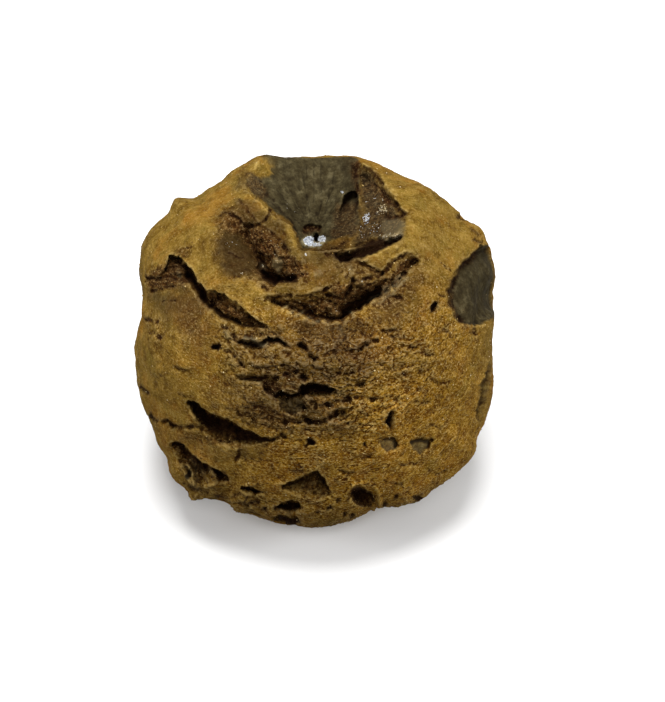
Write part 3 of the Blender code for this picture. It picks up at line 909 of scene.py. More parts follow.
    # --- second slot, low on the left, with ribs inside
    gap(
        c,
        [(169, 446), (172, 443), (178, 442), (184, 445), (190, 452), (196, 458), (203, 463), (212, 468), (221, 472), (229, 478)],
        [(171, 450), (177, 455), (181, 463), (184, 474), (189, 482), (198, 484), (208, 486), (218, 484), (228, 482)],
        4.4, lift=0.8, power=0.8, soft=0.9, rim=0.45, shade=(0.30, 0.85), fade=2.5, dark=0.9, brown=1,
    )  # fmt: skip
    grain(c, [(180, 450), (200, 458), (228, 476), (222, 486), (192, 486), (182, 470)], 68, 1.6, 0.25, dark=0.35)
    crack(c, [(184, 462), (190, 470), (194, 480), (200, 490)], 1.5, -1.2, dark=-0.95, brown=-0.6, pale=0.25)
    crack(c, [(190, 457), (195, 468), (199, 482)], 1.2, -0.8, dark=-0.8, brown=-0.3, pale=0.15)
    crack(c, [(198, 462), (203, 473), (209, 484)], 1.2, -0.8, dark=-0.8, brown=-0.4, pale=0.15)
    crack(c, [(208, 468), (213, 476), (217, 485)], 1.2, -0.8, dark=-0.8, brown=-0.4, pale=0.15)
    crack(c, [(171, 449), (178, 456), (182, 466), (186, 478), (194, 486), (206, 490), (220, 488)], 1.4, -0.5, pale=0.2)
    pit(c, 188, 475, 2.4, 5.0, 1.6, -20, dark=1)
    dent(c, [(200, 474), (212, 473), (216, 486), (204, 488)], -0.8, soft=2, dark=-0.8, brown=-0.5)
    crack(c, [(220, 471), (226, 475), (228, 481)], 2.0, 1.0, dark=0.8, brown=1)
    # third slot, at the edge of the underside
    crack(c, [(182, 483), (189, 486), (197, 489), (208, 495)], 2.0, 0.8, taper=0.1, dark=1, brown=1)
    crack(c, [(180, 490), (190, 494), (204, 498)], 1.8, -0.5)
    crack(c, [(214, 496), (228, 497), (238, 495), (246, 493)], 1.5, 0.9, wall=0.25, brown=1, dark=0.35)
    crack(c, [(205, 499), (220, 503), (236, 503), (252, 507)], 1.4, 0.8, wall=0.25, brown=0.9, dark=0.3)
    crack(c, [(232, 490), (240, 493), (248, 497), (258, 499)], 1.4, 0.8, wall=0.2, brown=0.9, dark=0.3)
    for u, v, a in ((251, 503, 20), (258, 502, -30), (246, 500, 60), (265, 510, 10)):
        pit(c, u, v, 3.6, 1.6, 0.8, a, dark=0.6, brown=1)
    gap(
        c,
        [(240, 487), (248, 486), (256, 488), (265, 493)],
        [(242, 489), (248, 492), (256, 494), (264, 494)],
        2.8, lift=0.7, power=0.5, soft=0.8, rim=0.25, dark=1, brown=1,
    )  # fmt: skip
    crack(c, [(238, 486), (246, 485), (256, 486)], 1.2, -0.25)
    crack(c, [(268, 466), (272, 468), (275, 472)], 1.4, 0.6, dark=0.4, brown=1)

    # --- holes low in front
    gap(
        c,
        [(280, 488), (290, 483), (300, 478), (310, 474), (318, 471), (323, 477), (327, 485), (332, 493)],
        [(283, 490), (291, 494), (301, 498), (313, 500), (324, 499), (332, 496)],
        4.0, lift=0.8, power=1.15, soft=0.9, rim=0.3, shade=(0.62, 1.0), fade=3.0, dark=0.9, brown=0.5, grey=0.5,
    )  # fmt: skip
    grain(c, [(288, 486), (326, 478), (328, 500), (292, 498)], 78, 1.6, 0.12, stain=0.3)
    gap(
        c,
        [(275, 508), (281, 504), (287, 502), (294, 502), (300, 504)],
        [(278, 511), (286, 514), (294, 514), (301, 509)],
        4.0, lift=0.8, power=0.45, soft=0.8, rim=0.3, dark=1, brown=1,
    )  # fmt: skip
    dent(c, [(369, 505), (380, 502), (380, 513), (369, 514)], 0.13, soft=1.8)
    dent(c, [(185, 493), (197, 496), (197, 504), (185, 502)], 0.10, soft=1.8)
    # round hole with a raised rim
    crack(c, [(350, 508), (348, 496), (355, 486), (368, 483), (378, 489), (378, 503), (368, 511)], 2.0, -0.6, taper=0.1)
    pit(c, 363, 497.5, 12.0, 9.8, 3.0, -25, 3.0, edge=(1.04, 0.95), dark=0.50, brown=1)
    pit(c, 360, 494, 9.0, 6.8, 1.2, -25, 2.0, edge=(1.1, 0.8), dark=0.85)
    pit(c, 368, 501, 4, 4, -0.5, 0, 1.2, dark=-0.7)
    crack(c, [(347, 503), (350, 494), (356, 488), (362, 484)], 1.5, 0.7, brown=0.9, dark=0.35)
    gap(
        c,
        [(273, 519), (280, 516), (288, 517), (296, 517), (302, 521)],
        [(275, 523), (286, 525), (297, 526)],
        2.8, lift=0.4, power=0.5, torn=0.3, fade=0.0, dark=1, brown=1,
    )  # fmt: skip
    dent(c, [(275, 519), (284, 517), (297, 518), (302, 522), (292, 525), (280, 524)], 0.0, soft=1, dark=1, ground=0.9)
    pit(c, 418, 498, 6, 2.6, 0.9, -15, dark=0.95, brown=1)
    for u, v, r in ((330, 508, 2.4), (344, 515, 2.0), (318, 512, 1.8), (352, 516, 2.2), (385, 505, 2.0), (396, 497, 2.4), (338, 500, 1.8)):
        pit(c, u, v, r * 1.4, r, 0.7, u * 7 % 90, dark=0.6, brown=0.9)

    # --- grey scar on the right
    gap(
        c,
        [(479, 245), (472, 257), (465, 262), (459, 267), (455, 277), (451, 290), (452, 305), (455, 315), (463, 323), (474, 326)],
        [(495, 250), (500, 262), (502, 280), (501, 296), (496, 310), (486, 321)],
        1.9, power=0.45, soft=0.8, rim=0.25, grey=1, smooth=0.7, stain=0.35,
    )  # fmt: skip
    dent(c, [(479, 246), (500, 244), (508, 275), (500, 312), (486, 322), (474, 324), (460, 300), (462, 268)], 0.0, soft=1.1, grey=1, smooth=0.7, stain=0.3)
    grain(c, [(458, 262), (500, 250), (500, 318), (458, 320)], 80, 1.5, 0.10, stain=0.45)
    crack(c, [(478, 248), (471, 259), (464, 264), (458, 270), (454, 280), (450, 291), (451, 305), (455, 315), (463, 323)], 1.9, 1.1, taper=0.04, dark=1, brown=0.8)
    crack(c, [(463, 325), (470, 327), (477, 331)], 1.6, 0.7, brown=1, dark=0.3)
    crack(c, [(466, 331), (473, 333), (478, 336)], 1.4, 0.6, brown=1)
    # niche and the thin plate outside it
    gap(
        c,
        [(488, 362), (485, 376), (481, 388), (478, 400), (476, 412), (477, 420)],
        [(493, 366), (492, 380), (490, 394), (487, 406), (482, 420)],
        1.3, slide=-0.3, power=0.7, soft=0.8, rim=0.35, shade=(0.5, 0.9), dark=0.8, grey=0.6, smooth=0.5,
    )  # fmt: skip
    gap(
        c,
        [(430, 311), (430, 305), (434, 302), (437, 305)],
        [(432, 313), (435, 313), (437, 308)],
        1.8, power=0.5, dark=1, brown=1,
    )  # fmt: skip
    crack(c, [(438, 296), (447, 297)], 1.3, 0.8, dark=0.7, brown=0.9)
    gap(
        c,
        [(395, 409), (390, 412), (386, 417), (386, 423), (390, 427)],
        [(395, 411), (392, 416), (391, 421), (391, 426)],
        2.6, slide=-0.5, power=0.5, soft=0.8, rim=0.3, dark=1, brown=1,
    )  # fmt: skip
    crack(c, [(389, 426), (391, 431), (393, 435)], 1.3, 0.8, dark=0.7, brown=0.8)
    dent(c, [(379, 441), (392, 438), (397, 448), (391, 449), (389, 453), (381, 448)], 0.4, soft=0.7, grey=0.75, pale=0.09)
    crack(c, [(379, 440), (386, 438.5), (393, 438), (397, 447)], 1.5, 1.2, taper=0.04, dark=1)
    dent(c, [(410, 442), (429, 439), (427, 448), (420, 455), (412, 450)], 0.4, soft=0.7, grey=0.75, pale=0.07)
    crack(c, [(410, 442), (420, 441), (433, 438)], 1.9, 1.4, taper=0.04, dark=1)
    crack(c, [(429, 440), (427, 449)], 1.6, 1.2, taper=0.04, dark=1)
    crack(c, [(400, 372), (408, 376), (417, 382)], 1.2, 0.6, brown=0.9)
    crack(c, [(448, 353), (454, 352), (454, 357), (448, 358)], 1.1, 0.5, grey=0.6)
    for pts in (
        [(420, 352), (428, 356), (436, 354)], [(440, 330), (448, 334), (452, 340)], [(405, 345), (414, 348), (420, 346)],
        [(430, 380), (440, 384), (452, 382)], [(412, 400), (420, 404), (430, 402)], [(350, 455), (362, 458), (374, 456)],
        [(395, 462), (406, 466), (418, 464)], [(430, 425), (440, 428), (448, 426)], [(336, 470), (346, 474), (356, 473)],
        [(172, 366), (182, 370), (192, 368)], [(150, 372), (158, 376), (166, 374)], [(176, 392), (186, 396), (196, 394)],
        [(382, 480), (394, 484), (404, 482)], [(425, 470), (436, 474), (446, 470)],
    ):  # fmt: skip
        crack(c, pts, 1.3, 0.6, wall=0.15, brown=0.8, dark=0.15)
    crack(c, [(454, 214), (462, 219), (470, 223), (478, 222)], 1.5, 0.8, wall=0.35, dark=0.7, brown=1)
    crack(c, [(470, 228), (476, 232), (480, 236)], 1.3, 0.5, dark=0.5, brown=0.9)
    # lumps on the outline
    lump(c, 180, 202, 9, 7, 0.5)
    lump(c, 475, 233, 9, 7, 0.4)
    lump(c, 466, 215, 5, 3, 0.35, 30)
    crack(c, [(456, 211), (464, 218), (473, 222)], 1.2, 0.5, dark=0.7, brown=1)
    crack(c, [(474, 238), (479, 242), (484, 243)], 1.4, 0.6, dark=0.8, brown=1)

    # --- where the layers show, where dirt and painted shade darken broad areas, and where painted light brightens them
    for poly, amount, ground in (
        ([(304, 252), (345, 246), (362, 262), (388, 262), (384, 276), (345, 281), (318, 286), (304, 268)], 0.65, 8),
        ([(296, 246), (345, 240), (352, 254), (346, 262), (304, 262)], 0.7, 5),
        ([(228, 282), (262, 292), (262, 304), (236, 298)], 0.3, 8),
        ([(346, 318), (410, 296), (424, 330), (412, 380), (360, 384), (340, 340)], 0.55, 16),
        ([(398, 256), (440, 232), (450, 290), (430, 340), (404, 310)], 0.35, 16),
        ([(212, 212), (240, 202), (262, 232), (258, 280), (226, 276), (212, 250)], 0.35, 8),
        ([(205, 300), (262, 330), (300, 330), (260, 350), (215, 345)], 0.3, 12),
        ([(222, 262), (226, 300), (205, 290), (200, 262)], 0.15, 8),
        ([(214, 208), (240, 200), (270, 228), (296, 262), (310, 278), (270, 288), (224, 276), (212, 250)], 0.3, 5),
        ([(268, 298), (330, 290), (350, 282), (400, 262), (418, 258), (400, 282), (360, 312), (330, 322), (300, 314)], 0.22, 4),
        ([(262, 284), (300, 276), (340, 268), (350, 282), (320, 290), (290, 297), (264, 297)], 0.62, 5),
        ([(304, 252), (345, 246), (362, 262), (350, 270), (318, 272), (300, 262)], 0.40, 6),
        ([(234, 200), (250, 200), (266, 212), (282, 224), (292, 246), (304, 266), (290, 262), (270, 238), (250, 226), (236, 214)], 0.80, 4),
        ([(290, 340), (340, 336), (372, 342), (374, 376), (340, 384), (290, 378)], 0.72, 10),
        ([(250, 384), (282, 380), (346, 400), (346, 430), (300, 432), (250, 412)], 0.30, 10),
        ([(240, 330), (300, 326), (350, 322), (390, 330), (380, 400), (330, 430), (280, 430), (244, 400)], 0.35, 18),
        ([(166, 258), (196, 276), (214, 296), (252, 322), (230, 326), (198, 302), (164, 284)], 0.6, 4),
    ):  # fmt: skip
        dent(c, poly, 0.0, soft=1, stain=amount, ground=ground)
    # painted shade darkening broad areas of the front
    for poly, amount, ground in (
        ([(234, 200), (250, 202), (262, 212), (262, 222), (246, 226), (234, 214)], 0.26, 4),
        ([(262, 212), (278, 220), (290, 238), (298, 256), (284, 250), (268, 232)], 0.20, 4),
        ([(300, 252), (345, 248), (350, 262), (320, 272), (300, 264)], 0.20, 5),
        ([(270, 284), (300, 276), (340, 268), (350, 280), (320, 288), (290, 296)], 0.14, 5),
        ([(290, 345), (330, 340), (370, 346), (370, 372), (330, 380), (290, 372)], 0.16, 8),
        ([(225, 330), (262, 326), (290, 340), (280, 360), (240, 356)], 0.08, 8),
        ([(290, 320), (350, 322), (400, 300), (416, 280), (420, 300), (396, 330), (350, 342), (296, 340)], 0.12, 8),
    ):  # fmt: skip
        dent(c, poly, 0.0, soft=1, dark=amount, ground=ground)
    for poly, amount, ground in (
        ([(250, 384), (282, 378), (340, 396), (350, 430), (300, 436), (244, 416)], 0.22, 12),
        ([(170, 432), (210, 438), (250, 444), (240, 460), (200, 452)], 0.30, 8),
        ([(300, 322), (350, 324), (372, 350), (330, 366), (290, 350)], 0.16, 12),
    ):  # fmt: skip
        dent(c, poly, 0.0, soft=1, grey=amount, ground=ground)
    # painted light: broad areas low on the right and in the middle are brightened
    for poly, amount, ground in (
        ([(328, 452), (400, 430), (440, 396), (484, 372), (490, 430), (468, 474), (410, 498), (336, 500)], 0.60, 14),
        ([(222, 462), (288, 458), (288, 492), (232, 494)], 0.35, 10),
        ([(340, 380), (400, 372), (440, 400), (400, 446), (350, 440)], 0.30, 12),
    ):  # fmt: skip
        dent(c, poly, 0.0, soft=1, clean=amount, ground=ground)
    dent(c, [(222, 330), (262, 322), (300, 345), (360, 335), (410, 322), (424, 350), (410, 390), (392, 425), (340, 436), (280, 436), (240, 420), (222, 380)], 0.0, soft=1, lamina=0.9, ground=16)
    dent(c, [(205, 484), (262, 480), (280, 500), (270, 520), (215, 512), (185, 494)], 0.0, soft=1, lamina=0.8, ground=8)
    dent(c, [(160, 430), (240, 442), (262, 462), (240, 480), (215, 462), (170, 438)], 0.0, soft=1, lamina=0.35, ground=8)
    dent(c, [(300, 496), (360, 510), (450, 470), (470, 480), (400, 515), (340, 528), (300, 522)], 0.0, soft=1, lamina=0.6, ground=10)
    dent(c, [(150, 262), (186, 262), (196, 284), (150, 290)], 0.0, soft=1, lamina=0.6, ground=3)
    # painted shade over the middle of the front, with dirt
    dent(c, [(228, 330), (290, 318), (360, 322), (372, 350), (350, 400), (344, 426), (290, 432), (240, 418), (226, 370)], 0.0, soft=1, stain=0.7, ground=22)
    dent(c, [(270, 372), (330, 372), (344, 400), (336, 424), (290, 426), (262, 400)], 0.0, soft=1, stain=0.5, ground=14)
    for poly, amount, ground in (
        ([(235, 202), (262, 200), (264, 224), (238, 226)], 0.30, 8),
        ([(262, 212), (288, 213), (288, 234), (264, 232)], 0.35, 8),
        ([(333, 208), (357, 208), (357, 237), (334, 237)], 0.45, 6),
        ([(304, 252), (342, 250), (344, 266), (306, 268)], 0.22, 8),
        ([(384, 284), (418, 280), (420, 312), (386, 314)], 0.35, 9),
        ([(378, 213), (404, 213), (404, 237), (382, 237)], 0.35, 6),
        ([(224, 240), (252, 240), (252, 270), (226, 270)], 0.25, 6),
    ):
        dent(c, poly, 0.0, soft=1, stain=amount, ground=ground)
    # painted shade, darker towards the bottom, with dirt
    dent(c, [(170, 488), (280, 505), (330, 515), (400, 505), (440, 480), (470, 470), (430, 530), (300, 545), (180, 520)], 0.0, soft=1, stain=0.5, ground=14)

    c.level(True)
    # thin cracks, cut once the form is made
    for pts, width, depth, brown in (
        ([(162, 302), (170, 300), (178, 301)], 1.0, 0.25, 0.7), ([(228, 252), (236, 256), (246, 258)], 0.9, 0.15, 0.5),
        ([(150, 287), (162, 286), (176, 287)], 0.9, 0.25, 0.7), ([(230, 360), (226, 352), (232, 346)], 0.9, 0.2, 0.5),
        ([(330, 372), (342, 376), (356, 374)], 1.0, 0.3, 0.6), ([(270, 362), (284, 366), (298, 364)], 1.0, 0.3, 0.7),
        ([(300, 430), (318, 432), (336, 429)], 1.0, 0.3, 0.6), ([(440, 262), (446, 268), (452, 271)], 0.9, 0.3, 0.7),
    ):  # fmt: skip
        crack(c, pts, width, depth, brown=brown)


# ---------------------------------------------------------------------------------
# The other sides, in tangent planes in millimetres
# ---------------------------------------------------------------------------------
def tangent(f, azimuth, elevation, hidden, seed):
    """A canvas on the plane that touches the barrel at that azimuth and elevation."""
    d = direction(azimuth, elevation)
    at = CENTRE + d * form_radius(d[None])[0]
    n = form_normal(at[None])[0]
    right = np.cross((0, 0, 1.0), n)
    right /= np.linalg.norm(right)
    up = np.cross(n, right)
    q = f.p - at
    facing = f.n0 @ n
    w = smooth(0.30, 0.62, facing) * hidden
    w *= smooth(-9.0, -5.0, q @ n)
    into = np.broadcast_to(-n, f.p.shape)
    return Canvas(f, q @ right, -(q @ up), w, into, right, up, (0.34, 0.30), 1.0, seed)


def arc(x0, y0, length, sag, turn=0.0, n=7, skew=0.0):
    """Points of a shallow arc from left to right, its middle sag above its ends."""
    a = math.radians(turn)
    pts = []
    for k in range(n):
        t = k / (n - 1)
        x = (t - 0.5) * length
        y = -sag * (1 - (2 * (t ** (1 + skew)) - 1) ** 2)
        pts.append((x0 + x * math.cos(a) + y * math.sin(a), y0 - x * math.sin(a) + y * math.cos(a)))
    return pts


def scale_slot(c, x, y, length, wide, depth, turn, sag, dark=1.0, skew=0.0):
    """A gaping scale edge: a lip that overhangs a slot with painted shadow in it, and a brow above it."""
    lip = arc(x, y, length, sag, turn, skew=skew)
    far = arc(x, y + 0.15 * wide, length * 0.98, sag - wide, turn, skew=skew)
    gap(c, lip, far, depth, lift=0.35 * depth, power=0.6, soft=0.09, dark=dark, brown=1)
    lump(c, x, y - sag - 0.9, length * 0.45, 0.9, 0.3, -turn)


def patch(x, y, rx, ry, seed, n=16):
    """A rough-edged oval."""
    rng = np.random.RandomState(seed)
    ph = rng.uniform(0, 6.28, 3)
    pts = []
    for k in range(n):
        a = 2 * math.pi * k / n
        r = 1 + 0.12 * math.sin(2 * a + ph[0]) + 0.10 * math.sin(3 * a + ph[1]) + 0.06 * math.sin(5 * a + ph[2])
        pts.append((x + rx * r * math.cos(a), y + ry * r * math.sin(a)))
    return pts


def lines(c, rng, count, span, width, depth, tilt=0.0):
    """Short cracks running roughly level."""
    for _ in range(count):
        x, y = rng.uniform(-span, span, 2)
        n = rng.randint(3, 6)
        step = rng.uniform(0.7, 1.5)
        a = math.radians(tilt + rng.uniform(-28, 28))
        pts = [(x, y)]
        for _k in range(n):
            a += rng.uniform(-0.45, 0.45)
            pts.append((pts[-1][0] + step * math.cos(a), pts[-1][1] + step * math.sin(a)))
        dark = rng.uniform(0.2, 0.8)
        crack(c, pts, width * rng.uniform(0.8, 1.4), depth * rng.uniform(0.6, 1.3), dark=dark, brown=0.9)


def other_sides(f, hidden):
    """Scale edges, scars, broken layers and holes on what the camera doesn't see."""
    # right-hand side and right back
    c = tangent(f, 112, 8, hidden, 1.0)
    c.level(False)
    scale_slot(c, -3.0, 4.2, 7.5, 0.9, 2.2, 8, 1.1)
    scale_slot(c, 3.8, -2.6, 8.5, 1.0, 2.4, -10, 1.2, skew=0.2)
    dent(c, patch(-3.5, -3.0, 2.6, 1.9, 3), 0.6, soft=0.12, grey=1, smooth=0.7)
    pit(c, 5.4, 4.6, 0.9, 0.6, 1.1, 10, dark=0.9, brown=1)
    pit(c, 0.6, 8.6, 0.8, 0.5, 1.0, -20, dark=0.9, brown=1)
    lines(c, np.random.RandomState(21), 7, 8, 0.16, 0.55)
    dent(c, patch(0.5, -6.0, 5.5, 2.6, 35), 0.0, soft=1, lamina=0.8, ground=1.6)
    # back
    c = tangent(f, 160, 14, hidden, 2.0)
    c.level(False)
    scale_slot(c, -1.0, -3.8, 10.5, 1.2, 2.6, 6, 1.6)
    scale_slot(c, 4.2, 2.6, 8.0, 1.0, 2.4, -7, 1.2, skew=-0.15)
    scale_slot(c, -5.2, 4.8, 6.5, 0.9, 2.2, 12, 1.0)
    dent(c, patch(0.6, 6.4, 2.4, 1.3, 5), 0.5, soft=0.12, grey=0.9, brown=0.3, smooth=0.6)
    gap(
        c,
        arc(-4.2, 0.4, 5.2, 0.5, -4), arc(-4.2, 1.1, 5.2, -0.5, -4),
        1.3, lift=0.3, power=0.8, soft=0.1, brown=1, dark=0.6,
    )  # fmt: skip
    pit(c, 6.6, -4.4, 0.8, 0.6, 1.2, 10, dark=0.95, brown=1)
    lines(c, np.random.RandomState(22), 9, 9, 0.16, 0.6)
    dent(c, patch(1.0, -0.4, 6.5, 3.4, 31), 0.0, soft=1, lamina=0.9, ground=1.6)
    # left back
    c = tangent(f, 214, 6, hidden, 3.0)
    c.level(False)
    scale_slot(c, 2.4, -4.4, 9.0, 1.1, 2.5, -8, 1.4, skew=0.15)
    scale_slot(c, -3.8, 1.8, 8.6, 1.1, 2.6, 9, 1.3)
    scale_slot(c, 4.6, 5.6, 6.5, 0.9, 2.2, 4, 1.0)
    dent(c, patch(5.2, 0.4, 1.9, 2.3, 8), 0.6, soft=0.12, grey=1, smooth=0.7)
    pit(c, -6.4, -3.6, 0.8, 0.9, 1.1, 0, dark=0.9, brown=1)
    pit(c, -1.6, 7.6, 1.0, 0.6, 1.3, 10, dark=0.9, brown=1)
    lines(c, np.random.RandomState(23), 9, 9, 0.16, 0.6)
    dent(c, patch(-1.0, 4.6, 6.0, 3.0, 33), 0.0, soft=1, lamina=0.8, ground=1.6)
    # left-hand side
    c = tangent(f, 262, -4, hidden, 4.0)
    c.level(False)
    scale_slot(c, -1.0, -5.6, 7.5, 1.0, 2.3, 10, 1.2)
    scale_slot(c, 3.4, 1.6, 6.5, 0.9, 2.1, -12, 1.0)
    dent(c, patch(-4.2, 0.6, 1.6, 1.2, 9), 0.4, soft=0.12, grey=0.8, brown=0.3, smooth=0.5)
    pit(c, -2.0, 4.6, 0.8, 0.6, 1.1, 10, dark=0.9, brown=1)
    lines(c, np.random.RandomState(24), 7, 8, 0.16, 0.55)
    # low, all round: small holes and lifted edges towards the flat
    for k, az in enumerate((20, 75, 130, 185, 240, 300)):
        c = tangent(f, az, -40, hidden, 5.0 + k)
        c.level(False)
        rng = np.random.RandomState(40 + k)
        scale_slot(c, rng.uniform(-2, 2), rng.uniform(-2.0, 0.0), rng.uniform(5, 7), 0.8, 1.7, rng.uniform(-14, 14), 0.9)
        pit(c, rng.uniform(-4, 4), rng.uniform(1, 4), 0.8, 0.6, 1.0, rng.uniform(-40, 40), dark=0.9, brown=1)
        lines(c, rng, 5, 6, 0.16, 0.5)
    # high, behind the crater
    for k, az in enumerate((140, 195, 245)):
        c = tangent(f, az, 52, hidden, 15.0 + k)
        c.level(False)
        lines(c, np.random.RandomState(60 + k), 5, 5, 0.16, 0.5)


def face_the_camera(p):
    d = unit_rows(p - EYE)
    return d, -np.einsum("ij,ij->i", form_normal(p), d)


def strokes(p, work, crater_first=True):
    """Everything cut or raised on the barrel, as a move for each point, and its tints."""
    f = Field(p, work)
    f.n0 = form_normal(p)
    d = unit_rows(p - EYE)
    facing = -np.einsum("ij,ij->i", f.n0, d)
    seen = smooth(-0.16, -0.02, facing)
    if work == "form":
        u, v, _ = look(p)
        c = Canvas(f, u, v, seen, d, RIGHT, UPWARD, (2.0, 1.9), MM_PER_PX)
        c.carving = True
        q = open_crater(p, c)
        f.move += q - p
    else:
        q = p
    u, v, _ = look(q)
    mix = smooth(0.22, 0.55, facing)[:, None]
    # on the crater's own walls the line of sight is always the way in
    low = smooth(0.3, 0.8, p[:, 2] - q[:, 2])[:, None] if work == "form" else 0.0
    mix = np.maximum(mix, low)
    into = unit_rows(mix * d - (1 - mix) * f.n0)
    c = Canvas(f, u, v, seen, into, RIGHT, UPWARD, (2.0, 1.9), MM_PER_PX)
    front(c)
    other_sides(f, 1.0 - smooth(-0.30, -0.10, facing))
    return f


# ---------------------------------------------------------------------------------
# Meshes in and out of numpy
# ---------------------------------------------------------------------------------
def blown_cube(n, lean):
    """Directions and quads of a cube of n by n faces a side blown up to a ball, its points drawn together towards lean."""
    t = np.tan(np.linspace(-1, 1, n + 1) * math.pi / 4)
    a, b = np.meshgrid(t, t, indexing="ij")
    a, b = a.ravel(), b.ravel()
    one = np.ones_like(a)
    sides = [
        np.stack(s, 1)
        for s in (
            (one, a, b), (-one, b, a), (b, one, a), (a, -one, b), (a, b, one), (b, a, -one),
        )
    ]  # fmt: skip
    pts = np.concatenate(sides)
    m = (n + 1) ** 2
    i = np.arange(n)
    gi, gj = np.meshgrid(i, i, indexing="ij")
    q = (gi * (n + 1) + gj).ravel()
    quad = np.stack((q, q + n + 1, q + n + 2, q + 1), 1)
    quads = np.concatenate([quad + k * m for k in range(6)])
    key = np.round(pts * 1e5).astype(np.int64)
    code = (key[:, 0] * 400009 + key[:, 1]) * 400009 + key[:, 2]
    _, first, back = np.unique(code, return_index=True, return_inverse=True)
    d = unit_rows(pts[first])
    quads = back[quads]
    # outward winding
    c = d[quads]
    normal = np.cross(c[:, 1] - c[:, 0], c[:, 3] - c[:, 0])
    flip = np.einsum("ij,ij->i", normal, c.mean(1)) < 0
    quads[flip] = quads[flip][:, ::-1]
    d = unit_rows(d + lean)
    return d, quads


def mesh_from(name, p, quads):
    k = quads.shape[1]
    me = bpy.data.meshes.new(name)
    me.vertices.add(len(p))
    me.vertices.foreach_set("co", p.astype(F32).ravel())
    me.loops.add(quads.size)
    me.loops.foreach_set("vertex_index", quads.astype(np.int32).ravel())
    me.polygons.add(len(quads))
    me.polygons.foreach_set("loop_start", np.arange(0, quads.size, k, dtype=np.int32))
    me.update(calc_edges=True)
    me.validate()
    return me


def points_of(me):
    co = np.empty(len(me.vertices) * 3, F32)
    me.vertices.foreach_get("co", co)
    return co.reshape(-1, 3).astype(float)


def normals_of(me):
    no = np.empty(len(me.vertices) * 3, F32)
    me.vertex_normals.foreach_get("vector", no)
    return no.reshape(-1, 3).astype(float)


def edges_of(me):
    e = np.empty(len(me.edges) * 2, np.int32)
    me.edges.foreach_get("vertices", e)
    return e.reshape(-1, 2)


def spread(values, e, rounds):
    """Values averaged with their neighbours along the edges."""
    n = len(values)
    flat = values.reshape(n, -1)
    count = np.bincount(e[:, 0], minlength=n) + np.bincount(e[:, 1], minlength=n)
    count = np.maximum(count, 1)[:, None]
    out = flat.astype(float)
    for _ in range(rounds):
        s = np.zeros_like(out)
        for k in range(out.shape[1]):
            s[:, k] = np.bincount(e[:, 0], out[e[:, 1], k], n) + np.bincount(e[:, 1], out[e[:, 0], k], n)
        out = 0.5 * out + 0.5 * s / count
    return out.reshape(values.shape)


def through(me, kind, **settings):
    """A mesh after one modifier."""
    ob = bpy.data.objects.new("tmp_shape", me)
    bpy.context.scene.collection.objects.link(ob)
    for group, weights in settings.pop("groups", {}).items():
        vg = ob.vertex_groups.new(name=group)
        level = np.round(weights * 20).astype(int)
        for k in range(1, 21):
            idx = np.nonzero(level == k)[0]
            if len(idx):
                vg.add(idx.tolist(), k / 20, "REPLACE")
    mod = ob.modifiers.new("m", kind)
    for k, value in settings.items():
        setattr(mod, k, value)
    dg = bpy.context.evaluated_depsgraph_get()
    out = bpy.data.meshes.new_from_object(ob.evaluated_get(dg), depsgraph=dg)
    bpy.data.objects.remove(ob, do_unlink=True)
    bpy.data.meshes.remove(me)
    return out


def cleaned(me):
    """The same skin without doubled faces, faces of no area, or points and edges left on their own."""
    bm = bmesh.new()
    bm.from_mesh(me)
    bmesh.ops.dissolve_degenerate(bm, dist=0.0005, edges=bm.edges[:])
    bmesh.ops.triangulate(bm, faces=[f for f in bm.faces if len(f.verts) > 3])
    for _ in range(3):
        bm.verts.index_update()
        same = {}
        for f in bm.faces:
            same.setdefault(frozenset(v.index for v in f.verts), []).append(f)
        doubled = [f for fs in same.values() if len(fs) > 1 for f in fs]
        # a fin: a face with an edge that no other face shares
        fins = [f for f in bm.faces if any(len(e.link_faces) == 1 for e in f.edges) and any(len(e.link_faces) > 2 for e in f.edges)]
        drop = list(dict.fromkeys(doubled + fins))
        if not drop:
            break
        bmesh.ops.delete(bm, geom=drop, context="FACES_ONLY")
    bmesh.ops.delete(bm, geom=[e for e in bm.edges if not e.link_faces], context="EDGES")
    bmesh.ops.delete(bm, geom=[v for v in bm.verts if not v.link_faces], context="VERTS")
    bm.to_mesh(me)
    bm.free()
    me.validate(clean_customdata=False)
    me.update()
    return me


# ---------------------------------------------------------------------------------
# The stone
# ---------------------------------------------------------------------------------
VOXEL = 0.15
BASE_N = 210
BUDGET = 194000




d, quads = blown_cube(BASE_N, -0.30 * AHEAD)
p = fit_outline(CENTRE + d * form_radius(d)[:, None])
f = strokes(p, "form")
n0 = f.n0
wide = fbm(p.astype(F32), 0.16, 3, 31.0)
mid = fbm(p.astype(F32), 0.42, 3, 37.0)
p = p + f.move + n0 * (0.30 * wide + 0.16 * mid)[:, None]
# the worn flat
low = smooth(0.9, 0.0, p[:, 2])
p[:, 2] = np.where(p[:, 2] < 0.35, np.maximum(p[:, 2], 0.0) * 0.35 + 0.0, p[:, 2])
me = mesh_from("cone_form", p, quads)
me = through(me, "REMESH", mode="VOXEL", voxel_size=VOXEL, adaptivity=0.0)

p = points_of(me)
e = edges_of(me)
n = normals_of(me)
f = strokes(p, "fine")
t = strokes(p, "tint").tint
pf = p.astype(F32)
u, v, _ = look(p)
turned = smooth(0.1, -0.2, face_the_camera(p)[1])
upper = smooth(330, 262, v) * (1 - turned)
left = smooth(262, 205, u) * smooth(470, 430, v) * (1 - turned)
calm = np.clip(np.maximum(t["smooth"], 0.85 * t["grey"]), 0, 1)
even = np.maximum.reduce((calm, 0.75 * upper * (1 - t["brown"]), 0.60 * left * (1 - t["brown"]) * (1 - t["lamina"])))
